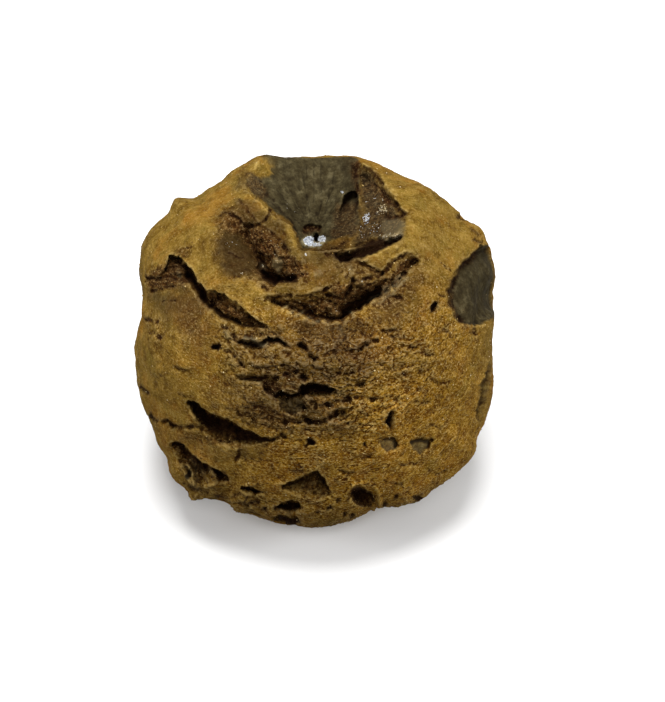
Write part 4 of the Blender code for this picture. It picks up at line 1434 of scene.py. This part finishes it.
# granular over the lower right, smoother over the upper plates
grainy = 0.50 + 0.50 * smooth(250, 400, v) * smooth(190, 330, u)
grainy = np.maximum(grainy, 0.7 * turned)
grainy *= 1 - 0.85 * even
footing = 0.3 + 0.7 * smooth(0.4, 2.8, p[:, 2])
crust = (1 - even) * footing
broken = np.clip(t["brown"] * (1 - t["smooth"]) * (1 - 0.6 * t["dark"]), 0, 1)
layered = t["lamina"] * footing
bent = pf + 0.30 * np.stack([fbm(pf, 0.9, 2, k) for k in (91.0, 92.0, 93.0)], 1)
n1 = fbm(pf, 0.55, 3, 51.0)
n2 = fbm(pf, 2.1, 3, 53.0, gain=0.6)
out = 0.15 * n1 * (1 - 0.6 * calm) + 0.055 * n2 * (0.25 + grainy)
# sand in the crust
near1, _, name1 = cells(pf, 3.2, 57.0)
out += grainy * 0.055 * (0.55 - near1) * (0.4 + (name1 % 7) / 5.0)
# bites out of the crust, each of its own size
bite, _, name2 = cells(bent + 0.15 * np.stack([noise(pf, 2.4, k) for k in (94.0, 95.0, 96.0)], 1), 0.95, 61.0)
reach = 0.08 + 0.22 * JIT[name2, 2] * (JIT[name2, 0] > 0.62)
out -= (0.2 + 0.8 * grainy) * crust * (1 - 0.6 * layered) * 0.24 * smooth(reach, reach * 0.35, bite)
# ledges of broken layers, each lip proud and its underside cut in
strain = fbm(pf, (0.17, 0.17, 0.34), 3, 71.0)
phase = p[:, 2] * 0.55 + 2.4 * strain + 0.55 * noise(pf, 0.9, 73.0)
saw = phase - np.floor(phase)
swell = smooth(-0.15, 0.55, noise(pf, 0.24, 75.0))
out += 0.32 * layered * swell * ((1 - saw) ** 2.0 - 0.35)
facet, _ = chips(bent, (0.36, 0.36, 0.75), 89.0)
out += (0.11 * layered + 0.02 * crust) * facet
facet, _ = chips(bent, (1.05, 1.05, 1.9), 90.0)
out += (0.05 * layered + 0.015 * grainy * crust) * facet
facet, _ = chips(bent, (2.6, 2.6, 4.4), 98.0)
out += (0.035 * layered + 0.012 * grainy * crust) * facet
# rubble in the breaks
facet, _ = chips(bent, (0.9, 0.9, 1.8), 81.0)
out += broken * 0.13 * facet
facet, _ = chips(bent, (2.2, 2.2, 4.0), 83.0)
out += broken * 0.065 * facet
out += broken * 0.10 * fbm(pf, (0.8, 0.8, 2.4), 3, 84.0, ridged=True)
# fine grooves that run down the crater's wall to its bottom
rel = p - CRATER
turn = np.arctan2(rel[:, 1], rel[:, 0])
on_wall = calm * smooth(11.5, 9.5, np.hypot(rel[:, 0], rel[:, 1])) * smooth(28.0, 29.0, p[:, 2])
ring = np.stack((np.cos(turn) * 9, np.sin(turn) * 9, 0.12 * np.hypot(rel[:, 0], rel[:, 1])), 1).astype(F32)
out += 0.075 * on_wall * (noise(ring, 1.5, 85.0) + 0.6 * noise(ring, 3.4, 86.0))
p = p + f.move + n * out[:, None]
p[:, 2] = np.maximum(p[:, 2], 0.0)
# the highest crest is worn down a little
p[:, 2] = np.where(p[:, 2] > 35.0, 35.0 + 0.62 * (p[:, 2] - 35.0), p[:, 2])
me.vertices.foreach_set("co", p.astype(F32).ravel())
me.update()

# how far each point stands proud of the surface near it, at three sizes; the material paints shade in the creases and
# highlights on the proud edges from these
dense = p
n = normals_of(me)
proud = {
    "proud_fine": (np.einsum("ij,ij->i", p - spread(p, e, 3), n), 0.08),
    "proud_mid": (np.einsum("ij,ij->i", p - spread(p, e, 8), n), 0.22),
    "proud_wide": (np.einsum("ij,ij->i", p - spread(p, e, 16), n), 0.38),
}
# the sides that the camera doesn't see keep two faces in five, then the whole is thinned evenly
d, facing = face_the_camera(p)
give = smooth(0.0, -0.30, facing)
me = through(
    me, "DECIMATE", decimate_type="COLLAPSE", ratio=1.0 - 0.60 * float((give > 0.5).mean()),
    vertex_group="give", vertex_group_factor=0.00001, groups={"give": give},
)  # fmt: skip
me.calc_loop_triangles()
me = cleaned(through(me, "DECIMATE", decimate_type="COLLAPSE", ratio=BUDGET / len(me.loop_triangles)))
p = points_of(me)
e = edges_of(me)
n = normals_of(me)
p[:, 2] = np.maximum(p[:, 2], 0.0)
me.vertices.foreach_set("co", p.astype(F32).ravel())
me.update()
t = strokes(p, "tint").tint
away = np.einsum("ij,ij->i", n, unit_rows(p - EYE))
# pale and the painted rim highlight are kept to faces turned towards the camera
for name in ("pale", "worn"):
    t[name] *= smooth(0.15, -0.15, away)
# the crater's colours end at its far rim, and cover the near wall that the camera can't see
behind = smooth(0.05, 0.30, n[:, 1]) * smooth(0.13, 0.03, face_the_camera(p)[1]) * smooth(28.0, 30.0, p[:, 2])
for name in TINTS:
    t[name] *= 1 - behind
depth_in = (1.0 - form_value(p)) * 19.0
within = smooth(7.6, 6.4, np.hypot((p[:, 0] - 1.5) * 0.9, (p[:, 1] - 1.2) * 0.8)) * smooth(28.0, 28.8, p[:, 2])
near_wall = smooth(0.5, 1.5, depth_in + 0.35 * noise(p.astype(F32), 0.8, 88.0)) * within * smooth(-0.05, 0.15, away)
t["grey"] = np.maximum(t["grey"], near_wall)
t["smooth"] = np.maximum(t["smooth"], 0.7 * near_wall)
tree = KDTree(len(dense))
for k, at in enumerate(dense.tolist()):
    tree.insert(at, k)
tree.balance()
near = np.array([tree.find(at)[1] for at in p.tolist()])
me.transform(Matrix.Scale(0.001, 4))
stone = bpy.data.objects.new("cone_stone", me)
bpy.context.scene.collection.objects.link(stone)


def store(name, values):
    a = me.attributes.new(name, "FLOAT", "POINT")
    a.data.foreach_set("value", np.asarray(values, F32))


for name, values in t.items():
    store("t_" + name, values)
u, v, _ = look(p)
front_low = smooth(250, 350, v) * (0.35 + 0.65 * smooth(210, 290, u)) * smooth(140, 180, u) * smooth(500, 455, u)
turned = smooth(0.1, -0.2, face_the_camera(p)[1])
patchy = smooth(-0.5, 0.5, noise(p.astype(F32), 0.12, 97.0))
store("grain", np.clip(front_low * (1 - turned) * (0.75 + 0.25 * patchy) + turned * patchy, 0, 1))
# painted shade: darker where the surface lies deep inside the form
store("sunk", smooth(0.7, 3.6, depth_in) * (1 - t["grey"]) * (p[:, 2] > 1.0))
for name, (values, scale) in proud.items():
    store(name, np.clip(0.5 + values[near] / scale, 0, 1))
me.shade_smooth()
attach(stone, "root")
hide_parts("fossil_cone")


# ---------------------------------------------------------------------------------
# Crystals in the crater and on the broken rock, and loose sand on the crust
# ---------------------------------------------------------------------------------
me.calc_loop_triangles()
tris = np.empty(len(me.loop_triangles) * 3, np.int32)
me.loop_triangles.foreach_get("vertices", tris)
tris = tris.reshape(-1, 3)
TREE = BVHTree.FromPolygons(p.tolist(), tris.tolist())


def under_pixel(u, v):
    """The point of the stone behind a pixel of the frame, and its normal there."""
    ray = AHEAD + RIGHT * ((u - MID_UV[0]) / FOCAL_PX) - UPWARD * ((v - MID_UV[1]) / FOCAL_PX)
    at, normal, _, _ = TREE.ray_cast(Vector(EYE), Vector(ray).normalized())
    return np.array(at), np.array(normal)


class Joined:
    """Many small closed shapes in one mesh, each with its own tone."""

    def __init__(self):
        self.p, self.f, self.tone, self.n = [], [], [], 0

    def put(self, points, faces, tone):
        self.p.append(points)
        self.f.extend(tuple(k + self.n for k in face) for face in faces)
        self.tone.extend([tone] * len(points))
        self.n += len(points)

    def piece(self, name):
        mesh = bpy.data.meshes.new(name)
        mesh.from_pydata((np.concatenate(self.p) * 0.001).tolist(), [], self.f)
        mesh.update()
        a = mesh.attributes.new("tone", "FLOAT", "POINT")
        a.data.foreach_set("value", np.asarray(self.tone, F32))
        ob = bpy.data.objects.new(name, mesh)
        bpy.context.scene.collection.objects.link(ob)
        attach(ob, "root")
        return ob


def axes_about(n, rng, lean):
    """A frame whose third axis leans a little away from n."""
    w = n + lean * rng.normal(size=3)
    w /= np.linalg.norm(w)
    a = np.cross(w, rng.normal(size=3))
    a /= np.linalg.norm(a)
    return np.stack((a, np.cross(w, a), w))


def crystal(rng, radius, length):
    """A stubby six-sided prism with a pointed end."""
    turn = np.arange(6) * math.pi / 3
    ring = np.stack((np.cos(turn), np.sin(turn)), 1) * radius * (1 + 0.15 * rng.normal(size=(6, 1)))
    low = np.concatenate((ring, np.full((6, 1), -0.5 * length)), 1)
    high = np.concatenate((ring * 0.92, np.full((6, 1), 0.35 * length)), 1)
    high[:, 2] += 0.10 * length * rng.normal(size=6)
    tip = np.array(((0.3 * radius * rng.normal(), 0.3 * radius * rng.normal(), length),))
    base = np.array(((0.0, 0.0, -0.6 * length),))
    faces = []
    for k in range(6):
        m = (k + 1) % 6
        faces += [(k, m, m + 6, k + 6), (k + 6, m + 6, 12), (m, k, 13)]
    return np.concatenate((low, high, tip, base)), faces


def grain_shape(rng, size):
    """A worn, uneven grain."""
    g = 1.618
    pts = np.array(
        [(-1, g, 0), (1, g, 0), (-1, -g, 0), (1, -g, 0), (0, -1, g), (0, 1, g), (0, -1, -g), (0, 1, -g), (g, 0, -1), (g, 0, 1), (-g, 0, -1), (-g, 0, 1)]
    ) / 1.9  # fmt: skip
    faces = [
        (0, 11, 5), (0, 5, 1), (0, 1, 7), (0, 7, 10), (0, 10, 11), (1, 5, 9), (5, 11, 4), (11, 10, 2), (10, 7, 6), (7, 1, 8),
        (3, 9, 4), (3, 4, 2), (3, 2, 6), (3, 6, 8), (3, 8, 9), (4, 9, 5), (2, 4, 11), (6, 2, 10), (8, 6, 7), (9, 8, 1),
    ]  # fmt: skip
    pts = pts * (1 + 0.22 * rng.normal(size=(12, 1)))
    return pts * size * np.array((rng.uniform(0.8, 1.4), rng.uniform(0.7, 1.1), rng.uniform(0.4, 0.75))), faces


rng = np.random.RandomState(5)
druse = Joined()
for u0, v0, ru, rv, count, size, tone in (
    (308.5, 241.0, 5.0, 4.0, 120, 0.20, 0.10), (322.0, 239.0, 3.8, 3.2, 70, 0.18, 0.18), (314.0, 245.0, 7.0, 1.6, 60, 0.16, 0.15),
    (305.5, 254.5, 0.7, 0.7, 5, 0.18, 0.60), (366.0, 219.5, 3.2, 5.4, 34, 0.12, 0.15), (369.0, 216.0, 2.4, 2.6, 10, 0.10, 0.1),
    (383.0, 209.0, 4.4, 4.4, 44, 0.11, 0.90), (379.0, 213.0, 3.0, 2.6, 8, 0.10, 0.9), (342.5, 192.5, 1.4, 1.0, 7, 0.12, 0.2),
    (390.0, 236.0, 11.0, 2.6, 50, 0.09, 0.85), (375.0, 199.0, 1.0, 1.0, 2, 0.09, 0.4), (383.0, 200.0, 1.0, 1.0, 2, 0.10, 0.7),
    (367.0, 202.0, 1.0, 1.0, 2, 0.09, 0.4), (374.0, 228.0, 7.0, 6.0, 14, 0.08, 0.5), (362.0, 232.0, 4.0, 6.0, 8, 0.08, 0.5),
    (277.5, 262.5, 2.4, 2.4, 4, 0.09, 0.95), (276.0, 254.0, 1.6, 2.0, 2, 0.09, 0.9), (262.0, 266.0, 3.0, 2.0, 5, 0.09, 0.9),
    (233.0, 243.0, 9.0, 5.0, 6, 0.06, 0.7), (242.0, 273.0, 1.0, 1.6, 3, 0.11, 0.8), (274.0, 245.0, 8.0, 8.0, 7, 0.07, 0.9),
    (333.5, 311.0, 3.4, 3.6, 4, 0.09, 1.0), (349.5, 270.0, 2.0, 3.0, 3, 0.10, 0.9), (362.0, 282.0, 1.0, 1.2, 2, 0.11, 0.6),
    (320.0, 303.0, 20.0, 9.0, 8, 0.06, 0.9), (288.0, 276.0, 8.0, 4.0, 5, 0.07, 0.9), (285.0, 208.0, 20.0, 14.0, 5, 0.06, 0.6),
):  # fmt: skip
    for _ in range(count):
        a, r = rng.uniform(0, 2 * math.pi), math.sqrt(rng.uniform())
        u1, v1 = u0 + ru * r * math.cos(a), v0 + rv * r * math.sin(a)
        if math.hypot((u1 - 316.0) / 2.9, (v1 - 238.5) / 4.0) < 1.0:
            continue
        at, normal = under_pixel(u1, v1)
        big = size * rng.uniform(0.55, 1.25)
        pts, faces = crystal(rng, 0.5 * big, 1.15 * big)
        druse.put(pts @ axes_about(normal, rng, 0.55) + at, faces, np.clip(tone + 0.12 * rng.normal(), 0, 1))
druse = druse.piece("druse_crystals")

sand = Joined()
corner = p[tris]
edge_a, edge_b = corner[:, 1] - corner[:, 0], corner[:, 2] - corner[:, 0]
face_n = np.cross(edge_a, edge_b)
area = np.linalg.norm(face_n, axis=1)
face_n = face_n / np.maximum(area, 1e-12)[:, None]
middle = corner.mean(1)
mu, mv, _ = look(middle)
shown = smooth(-0.1, 0.1, face_the_camera(middle)[1])
wanted = area * (1 - t["dark"][tris].mean(1)) * (1 - 0.9 * t["grey"][tris].mean(1)) * (1 - 0.8 * t["smooth"][tris].mean(1))
wanted *= np.where(shown > 0.5, 0.25 + 0.75 * smooth(290, 350, mv) * smooth(190, 260, mu), 0.5) * (middle[:, 2] > 0.6)
picks = rng.choice(len(tris), 5200, p=wanted / wanted.sum())
for k in picks:
    a, b = rng.uniform(size=2)
    if a + b > 1:
        a, b = 1 - a, 1 - b
    size = 0.03 + 0.06 * rng.uniform() ** 3.0
    pts, faces = grain_shape(rng, size)
    at = corner[k, 0] + a * edge_a[k] + b * edge_b[k] + face_n[k] * size * 0.15
    sand.put(pts @ axes_about(face_n[k], rng, 0.3) + at, faces, rng.uniform())
sand = sand.piece("sand_grains")


# ---------------------------------------------------------------------------------
# Materials
# ---------------------------------------------------------------------------------
def srgb(r, g, b):
    return tuple(((x / 255) / 12.92 if x <= 10 else ((x / 255 + 0.055) / 1.055) ** 2.4) for x in (r, g, b)) + (1.0,)


class Nodes:
    def __init__(self, name):
        self.mat = bpy.data.materials.new(name)
        self.mat.use_nodes = True
        self.t = self.mat.node_tree
        self.shader = self.t.nodes["Principled BSDF"]

    def add(self, kind, **values):
        nd = self.t.nodes.new(kind)
        for k, x in values.items():
            if k.startswith("in_"):
                key = k[3:]
                key = int(key) if key.isdigit() else key.replace("_", " ")
                if isinstance(x, bpy.types.NodeSocket):
                    self.t.links.new(x, nd.inputs[key])
                else:
                    nd.inputs[key].default_value = x
            else:
                setattr(nd, k, x)
        return nd

    def link(self, a, b):
        self.t.links.new(a, b)

    def attr(self, name):
        return self.add("ShaderNodeAttribute", attribute_name=name).outputs["Fac"]

    def noise(self, scale, detail=3.0, rough=0.55, distort=0.0, vector=None):
        nd = self.add("ShaderNodeTexNoise", in_Scale=scale, in_Detail=detail, in_Roughness=rough, in_Distortion=distort)
        self.link(vector or self.coords, nd.inputs["Vector"])
        return nd.outputs["Fac"]

    def cells(self, scale, feature="F1", vector=None, out="Distance"):
        nd = self.add("ShaderNodeTexVoronoi", feature=feature, in_Scale=scale)
        self.link(vector or self.coords, nd.inputs["Vector"])
        return nd.outputs[out]

    def stops(self, x, table):
        nd = self.add("ShaderNodeValToRGB", in_0=x)
        band = nd.color_ramp
        band.interpolation = "LINEAR"
        while len(band.elements) < len(table):
            band.elements.new(0.5)
        for e, (at, colour) in zip(band.elements, table):
            e.position = at
        for e, (at, colour) in zip(band.elements, table):
            e.color = srgb(*colour)
        return nd.outputs[0]

    def moved(self, by):
        nd = self.add("ShaderNodeVectorMath", operation="ADD", in_0=self.coords, in_1=(by, by * 0.7, by * 1.3))
        return nd.outputs[0]

    def ramp(self, x, lo, hi):
        nd = self.add("ShaderNodeMapRange", interpolation_type="SMOOTHSTEP", clamp=True, in_0=x, in_1=lo, in_2=hi, in_3=0.0, in_4=1.0)
        return nd.outputs[0]

    def math(self, op, a, b=0.0, clamp=False):
        nd = self.add("ShaderNodeMath", operation=op, use_clamp=clamp, in_0=a, in_1=b)
        return nd.outputs[0]

    def mix(self, fac, a, b, kind="MIX"):
        nd = self.t.nodes.new("ShaderNodeMix")
        nd.data_type = "RGBA"
        nd.blend_type = kind
        nd.clamp_factor = True
        for sock, x in ((nd.inputs[0], fac), (nd.inputs[6], a), (nd.inputs[7], b)):
            if isinstance(x, bpy.types.NodeSocket):
                self.link(x, sock)
            else:
                sock.default_value = x
        return nd.outputs[2]


def stone_material():
    m = Nodes("ochre_ironstone")
    m.coords = m.add("ShaderNodeTexCoord").outputs["Object"]
    PER_MM = 1000.0
    n_big = m.noise(0.16 * PER_MM, 3, 0.6)
    n_olive = m.noise(0.30 * PER_MM, 5, 0.68, vector=m.moved(31.0))
    n_all = m.noise(0.70 * PER_MM, 7, 0.72, distort=0.35)
    streak = m.add("ShaderNodeVectorMath", operation="MULTIPLY", in_0=m.moved(5.0), in_1=(0.62, 0.62, 1.5)).outputs[0]
    n_fine = m.noise(2.3 * PER_MM, 5, 0.74, distort=0.25, vector=streak)
    dusty = m.add("ShaderNodeVectorMath", operation="MULTIPLY", in_0=m.moved(77.0), in_1=(0.8, 0.8, 1.25)).outputs[0]
    n_dust = m.noise(4.7 * PER_MM, 3, 0.68, vector=dusty)
    grit = m.cells(2.8 * PER_MM)
    grain = m.attr("grain")
    upper = m.stops(n_all, ((0.30, (80, 56, 18)), (0.42, (105, 80, 30)), (0.50, (123, 97, 42)), (0.60, (137, 110, 53)), (0.74, (167, 142, 90))))
    lower = m.stops(n_all, ((0.30, (72, 40, 6)), (0.42, (112, 75, 16)), (0.50, (138, 99, 25)), (0.60, (154, 116, 38)), (0.74, (190, 156, 88))))
    col = m.mix(grain, upper, lower)
    col = m.mix(m.math("MULTIPLY", m.ramp(n_olive, 0.52, 0.68), 0.40), col, srgb(104, 90, 38))
    col = m.mix(m.math("MULTIPLY", m.ramp(n_olive, 0.46, 0.30), 0.50), col, srgb(128, 82, 22))
    col = m.mix(m.math("MULTIPLY", m.ramp(n_big, 0.54, 0.68), 0.32), col, srgb(88, 66, 26))
    col = m.mix(m.math("MULTIPLY", m.ramp(n_big, 0.48, 0.34), 0.30), col, srgb(156, 104, 34))
    rich = m.add("ShaderNodeMapRange", in_0=grain, in_1=0.0, in_2=1.0, in_3=0.30, in_4=1.0).outputs[0]
    col = m.mix(m.math("MULTIPLY", m.ramp(n_fine, 0.45, 0.34), m.math("MULTIPLY", rich, 0.62)), col, srgb(66, 36, 8))
    col = m.mix(m.math("MULTIPLY", m.ramp(n_fine, 0.56, 0.74), m.math("MULTIPLY", rich, 0.35)), col, srgb(182, 154, 98))
    col = m.mix(m.math("MULTIPLY", m.ramp(n_dust, 0.55, 0.61), m.math("MULTIPLY", rich, 0.75)), col, srgb(194, 168, 114))
    col = m.mix(m.math("MULTIPLY", m.ramp(n_dust, 0.455, 0.395), m.math("MULTIPLY", rich, 0.95)), col, srgb(54, 25, 5))
    # hair cracks, long and broken, that follow the layers
    flat = m.add("ShaderNodeVectorMath", operation="MULTIPLY", in_0=m.coords, in_1=(0.55, 0.55, 1.7)).outputs[0]
    along = m.noise(0.75 * PER_MM, 2, 0.45, distort=0.6, vector=flat)
    open_here = m.ramp(m.noise(0.55 * PER_MM, 2, 0.5, vector=m.moved(13.0)), 0.47, 0.60)
    hair = m.math("MULTIPLY", m.ramp(m.math("ABSOLUTE", m.math("SUBTRACT", along, 0.5)), 0.022, 0.004), open_here)
    edge = m.math("MULTIPLY", m.ramp(m.math("ABSOLUTE", m.math("SUBTRACT", along, 0.548)), 0.020, 0.004), open_here)
    much = m.add("ShaderNodeMapRange", in_0=m.math("MAXIMUM", grain, m.attr("t_lamina")), in_1=0.0, in_2=1.0, in_3=0.0, in_4=0.85).outputs[0]
    col = m.mix(m.math("MULTIPLY", hair, much), col, srgb(44, 18, 4))
    # painted highlight: a thin pale line beside each hair crack
    col = m.mix(m.math("MULTIPLY", edge, m.math("MULTIPLY", much, 0.6)), col, srgb(194, 168, 116))
    # creases hold darker iron stain, edges are worn pale
    # creases are darkened as painted shade with some iron stain, and proud edges paled as a painted highlight
    pf, pm, pw = m.attr("proud_fine"), m.attr("proud_mid"), m.attr("proud_wide")
    col = m.mix(m.math("MULTIPLY", m.ramp(pf, 0.44, 0.12), 0.65), col, srgb(58, 28, 6))
    col = m.mix(m.math("MULTIPLY", m.ramp(pw, 0.45, 0.15), 0.58), col, srgb(64, 36, 10))
    col = m.mix(m.math("MULTIPLY", m.ramp(pf, 0.58, 0.95), 0.40), col, srgb(188, 162, 106))
    col = m.mix(m.math("MULTIPLY", m.ramp(pm, 0.72, 1.0), 0.32), col, srgb(177, 150, 98))
    # painted highlight on the raised lip rims
    col = m.mix(m.math("MULTIPLY", m.attr("t_worn"), 0.28), col, srgb(170, 142, 92))
    # warmer overall, brighter where light is painted on, and greyer and darker where dirt and painted shade lie
    col = m.mix(1.0, col, (1.03, 1.0, 0.80, 1), kind="MULTIPLY")
    # painted light brightens these areas
    col = m.mix(m.attr("t_clean"), col, (1.34, 1.30, 1.12, 1), kind="MULTIPLY")
    col = m.mix(m.math("MULTIPLY", m.attr("t_stain"), 0.85), col, (0.40, 0.405, 0.66, 1), kind="MULTIPLY")
    # grey-olive of the scales inside
    grey = m.stops(m.noise(1.0 * PER_MM, 7, 0.72), ((0.30, (24, 20, 13)), (0.45, (47, 42, 28)), (0.55, (62, 56, 38)), (0.72, (96, 88, 64))))
    grey = m.mix(m.math("MULTIPLY", m.ramp(n_dust, 0.62, 0.74), 0.25), grey, srgb(104, 94, 66))
    # painted shade in the creases
    grey = m.mix(m.math("MULTIPLY", m.ramp(pf, 0.45, 0.15), 0.6), grey, srgb(22, 18, 11))
    grey = m.mix(m.math("MULTIPLY", m.attr("t_stain"), 0.85), grey, (0.42, 0.40, 0.38, 1), kind="MULTIPLY")
    col = m.mix(m.math("MULTIPLY", m.attr("t_grey"), 0.95), col, grey)
    layer = m.add("ShaderNodeVectorMath", operation="MULTIPLY", in_0=m.coords, in_1=(1.0, 1.0, 2.6)).outputs[0]
    brown = m.stops(m.noise(1.1 * PER_MM, 7, 0.75, vector=layer), ((0.30, (26, 8, 2)), (0.43, (52, 25, 8)), (0.53, (78, 47, 19)), (0.64, (103, 73, 36)), (0.76, (142, 116, 72))))
    brown = m.mix(m.math("MULTIPLY", m.ramp(n_fine, 0.48, 0.34), 0.55), brown, srgb(40, 15, 4))
    brown = m.mix(m.math("MULTIPLY", m.ramp(n_dust, 0.46, 0.39), 0.90), brown, srgb(28, 9, 2))
    brown = m.mix(m.math("MULTIPLY", m.ramp(n_dust, 0.555, 0.62), 0.62), brown, srgb(154, 130, 86))
    # painted shade in the creases
    brown = m.mix(m.math("MULTIPLY", m.ramp(pf, 0.45, 0.15), 0.75), brown, srgb(28, 11, 3))
    col = m.mix(m.math("MULTIPLY", m.attr("t_brown"), 0.88), col, brown)
    # painted shade deep in the recesses
    col = m.mix(m.math("MULTIPLY", m.attr("sunk"), 0.75), col, (0.40, 0.30, 0.22, 1), kind="MULTIPLY")
    # painted shadow in slots, holes and under lips, and dark joints in cracks
    col = m.mix(m.math("MULTIPLY", m.attr("t_dark"), 0.93), col, srgb(23, 9, 3))
    col = m.mix(m.math("MULTIPLY", m.attr("t_pale"), 0.8), col, srgb(158, 146, 110))
    m.link(col, m.shader.inputs["Base Color"])
    rough = m.add("ShaderNodeMapRange", in_0=n_fine, in_1=0.3, in_2=0.7, in_3=0.72, in_4=0.95).outputs[0]
    m.link(rough, m.shader.inputs["Roughness"])
    m.shader.inputs["Specular IOR Level"].default_value = 0.03
    calm = m.math("MAXIMUM", m.attr("t_smooth"), m.attr("t_grey"))
    strength = m.add("ShaderNodeMapRange", in_0=calm, in_1=0.0, in_2=1.0, in_3=1.0, in_4=0.45).outputs[0]
    h = m.math("ADD", m.math("MULTIPLY", n_fine, 1.1), m.math("MULTIPLY", n_dust, 0.65))
    h = m.math("ADD", h, m.math("MULTIPLY", m.ramp(grit, 0.50, 0.05), 0.30))
    h = m.math("ADD", h, m.math("MULTIPLY", n_all, 1.2))
    h = m.math("SUBTRACT", h, m.math("MULTIPLY", m.math("MULTIPLY", hair, much), 1.0))
    bump = m.add("ShaderNodeBump", in_Strength=strength, in_Distance=0.00018, in_Height=h)
    m.link(bump.outputs[0], m.shader.inputs["Normal"])
    return m.mat


def crystal_material():
    m = Nodes("milky_quartz")
    m.coords = m.add("ShaderNodeTexCoord").outputs["Object"]
    tone = m.attr("tone")
    cloud = m.noise(5000.0, 3, 0.6)
    white = m.mix(m.ramp(cloud, 0.35, 0.65), srgb(146, 153, 166), srgb(218, 223, 230))
    cream = m.mix(m.ramp(cloud, 0.35, 0.65), srgb(122, 104, 64), srgb(190, 172, 128))
    m.link(m.mix(tone, white, cream), m.shader.inputs["Base Color"])
    m.link(m.add("ShaderNodeMapRange", in_0=cloud, in_1=0.3, in_2=0.7, in_3=0.35, in_4=0.60).outputs[0], m.shader.inputs["Roughness"])
    m.shader.inputs["Specular IOR Level"].default_value = 0.25
    m.link(m.add("ShaderNodeBump", in_Strength=0.3, in_Distance=0.00002, in_Height=cloud).outputs[0], m.shader.inputs["Normal"])
    return m.mat


def sand_material():
    m = Nodes("ochre_sand")
    m.coords = m.add("ShaderNodeTexCoord").outputs["Object"]
    cloud = m.noise(9000.0, 2, 0.6)
    col = m.stops(m.attr("tone"), ((0.0, (96, 66, 24)), (0.35, (140, 106, 44)), (0.65, (174, 142, 76)), (0.9, (208, 182, 124)), (1.0, (224, 206, 160))))
    col = m.mix(m.math("MULTIPLY", m.ramp(cloud, 0.45, 0.65), 0.4), col, srgb(110, 80, 34))
    m.link(col, m.shader.inputs["Base Color"])
    m.link(m.add("ShaderNodeMapRange", in_0=cloud, in_1=0.3, in_2=0.7, in_3=0.55, in_4=0.85).outputs[0], m.shader.inputs["Roughness"])
    m.link(m.add("ShaderNodeBump", in_Strength=0.4, in_Distance=0.00002, in_Height=cloud).outputs[0], m.shader.inputs["Normal"])
    m.shader.inputs["Specular IOR Level"].default_value = 0.3
    return m.mat


me.materials.clear()
me.materials.append(stone_material())
druse.data.materials.append(crystal_material())
sand.data.materials.append(sand_material())

# ---------------------------------------------------------------------------------
# Floor, light and camera
# ---------------------------------------------------------------------------------
fm = bpy.data.meshes.new("floor")
bm = bmesh.new()
bmesh.ops.create_grid(bm, x_segments=1, y_segments=1, size=3.0)
bm.to_mesh(fm)
bm.free()
floor = bpy.data.objects.new("floor", fm)
bpy.context.scene.collection.objects.link(floor)
floor_mat = bpy.data.materials.new("pale_floor")
floor_mat.use_nodes = True
fs = floor_mat.node_tree.nodes["Principled BSDF"]
fs.inputs["Base Color"].default_value = (0.93, 0.93, 0.93, 1)
fs.inputs["Roughness"].default_value = 0.9
fs.inputs["Specular IOR Level"].default_value = 0.0
fm.materials.append(floor_mat)
floor.visible_diffuse = False

world = bpy.data.worlds.new("soft_room")
bpy.context.scene.world = world
world.use_nodes = True
wt = world.node_tree
bg = wt.nodes["Background"]
up_axis = wt.nodes.new("ShaderNodeSeparateXYZ")
wt.links.new(wt.nodes.new("ShaderNodeTexCoord").outputs["Generated"], up_axis.inputs[0])
sky = wt.nodes.new("ShaderNodeMapRange")
sky.interpolation_type = "SMOOTHSTEP"
sky.inputs[1].default_value, sky.inputs[2].default_value = -0.35, 0.9
sky.inputs[3].default_value, sky.inputs[4].default_value = 0.22, 0.31
wt.links.new(up_axis.outputs[2], sky.inputs[0])
wt.links.new(sky.outputs[0], bg.inputs["Strength"])
bg.inputs["Color"].default_value = (1.0, 1.0, 1.0, 1)


def area_light(name, at, aim, size, power, colour=(1, 1, 1)):
    lamp = bpy.data.lights.new(name, "AREA")
    lamp.shape = "DISK"
    lamp.size = size
    lamp.energy = power
    lamp.color = colour
    ob = bpy.data.objects.new(name, lamp)
    ob.location = at
    ob.rotation_mode = "QUATERNION"
    ob.rotation_quaternion = (Vector(aim) - Vector(at)).to_track_quat("-Z", "Y")
    bpy.context.scene.collection.objects.link(ob)
    return ob


area_light("key", (-0.02, 0.0, 0.60), (0, 0, 0.015), 0.30, 3.8)
area_light("front_fill", (0.04, -0.46, 0.44), (0, 0, 0.015), 0.30, 1.05)
area_light("right_fill", (0.50, -0.14, 0.26), (0, 0, 0.015), 0.25, 1.7)
area_light("left_fill", (-0.50, -0.14, 0.26), (0, 0, 0.015), 0.25, 1.25)

cam_data = bpy.data.cameras.new("camera")
cam = bpy.data.objects.new("camera", cam_data)
bpy.context.scene.collection.objects.link(cam)
cam_data.sensor_fit = "AUTO"
cam_data.sensor_width = 36.0
cam_data.lens = 36.0 * FOCAL_PX / FRAME_H
cam_data.clip_start, cam_data.clip_end = 0.01, 20.0
cam.location = Vector(EYE) * 0.001
cam.rotation_mode = "QUATERNION"
cam.rotation_quaternion = Vector(AHEAD).to_track_quat("-Z", "Y")
bpy.context.scene.camera = cam
bpy.context.scene.view_settings.view_transform = "Standard"
bpy.context.scene.view_settings.look = "None"
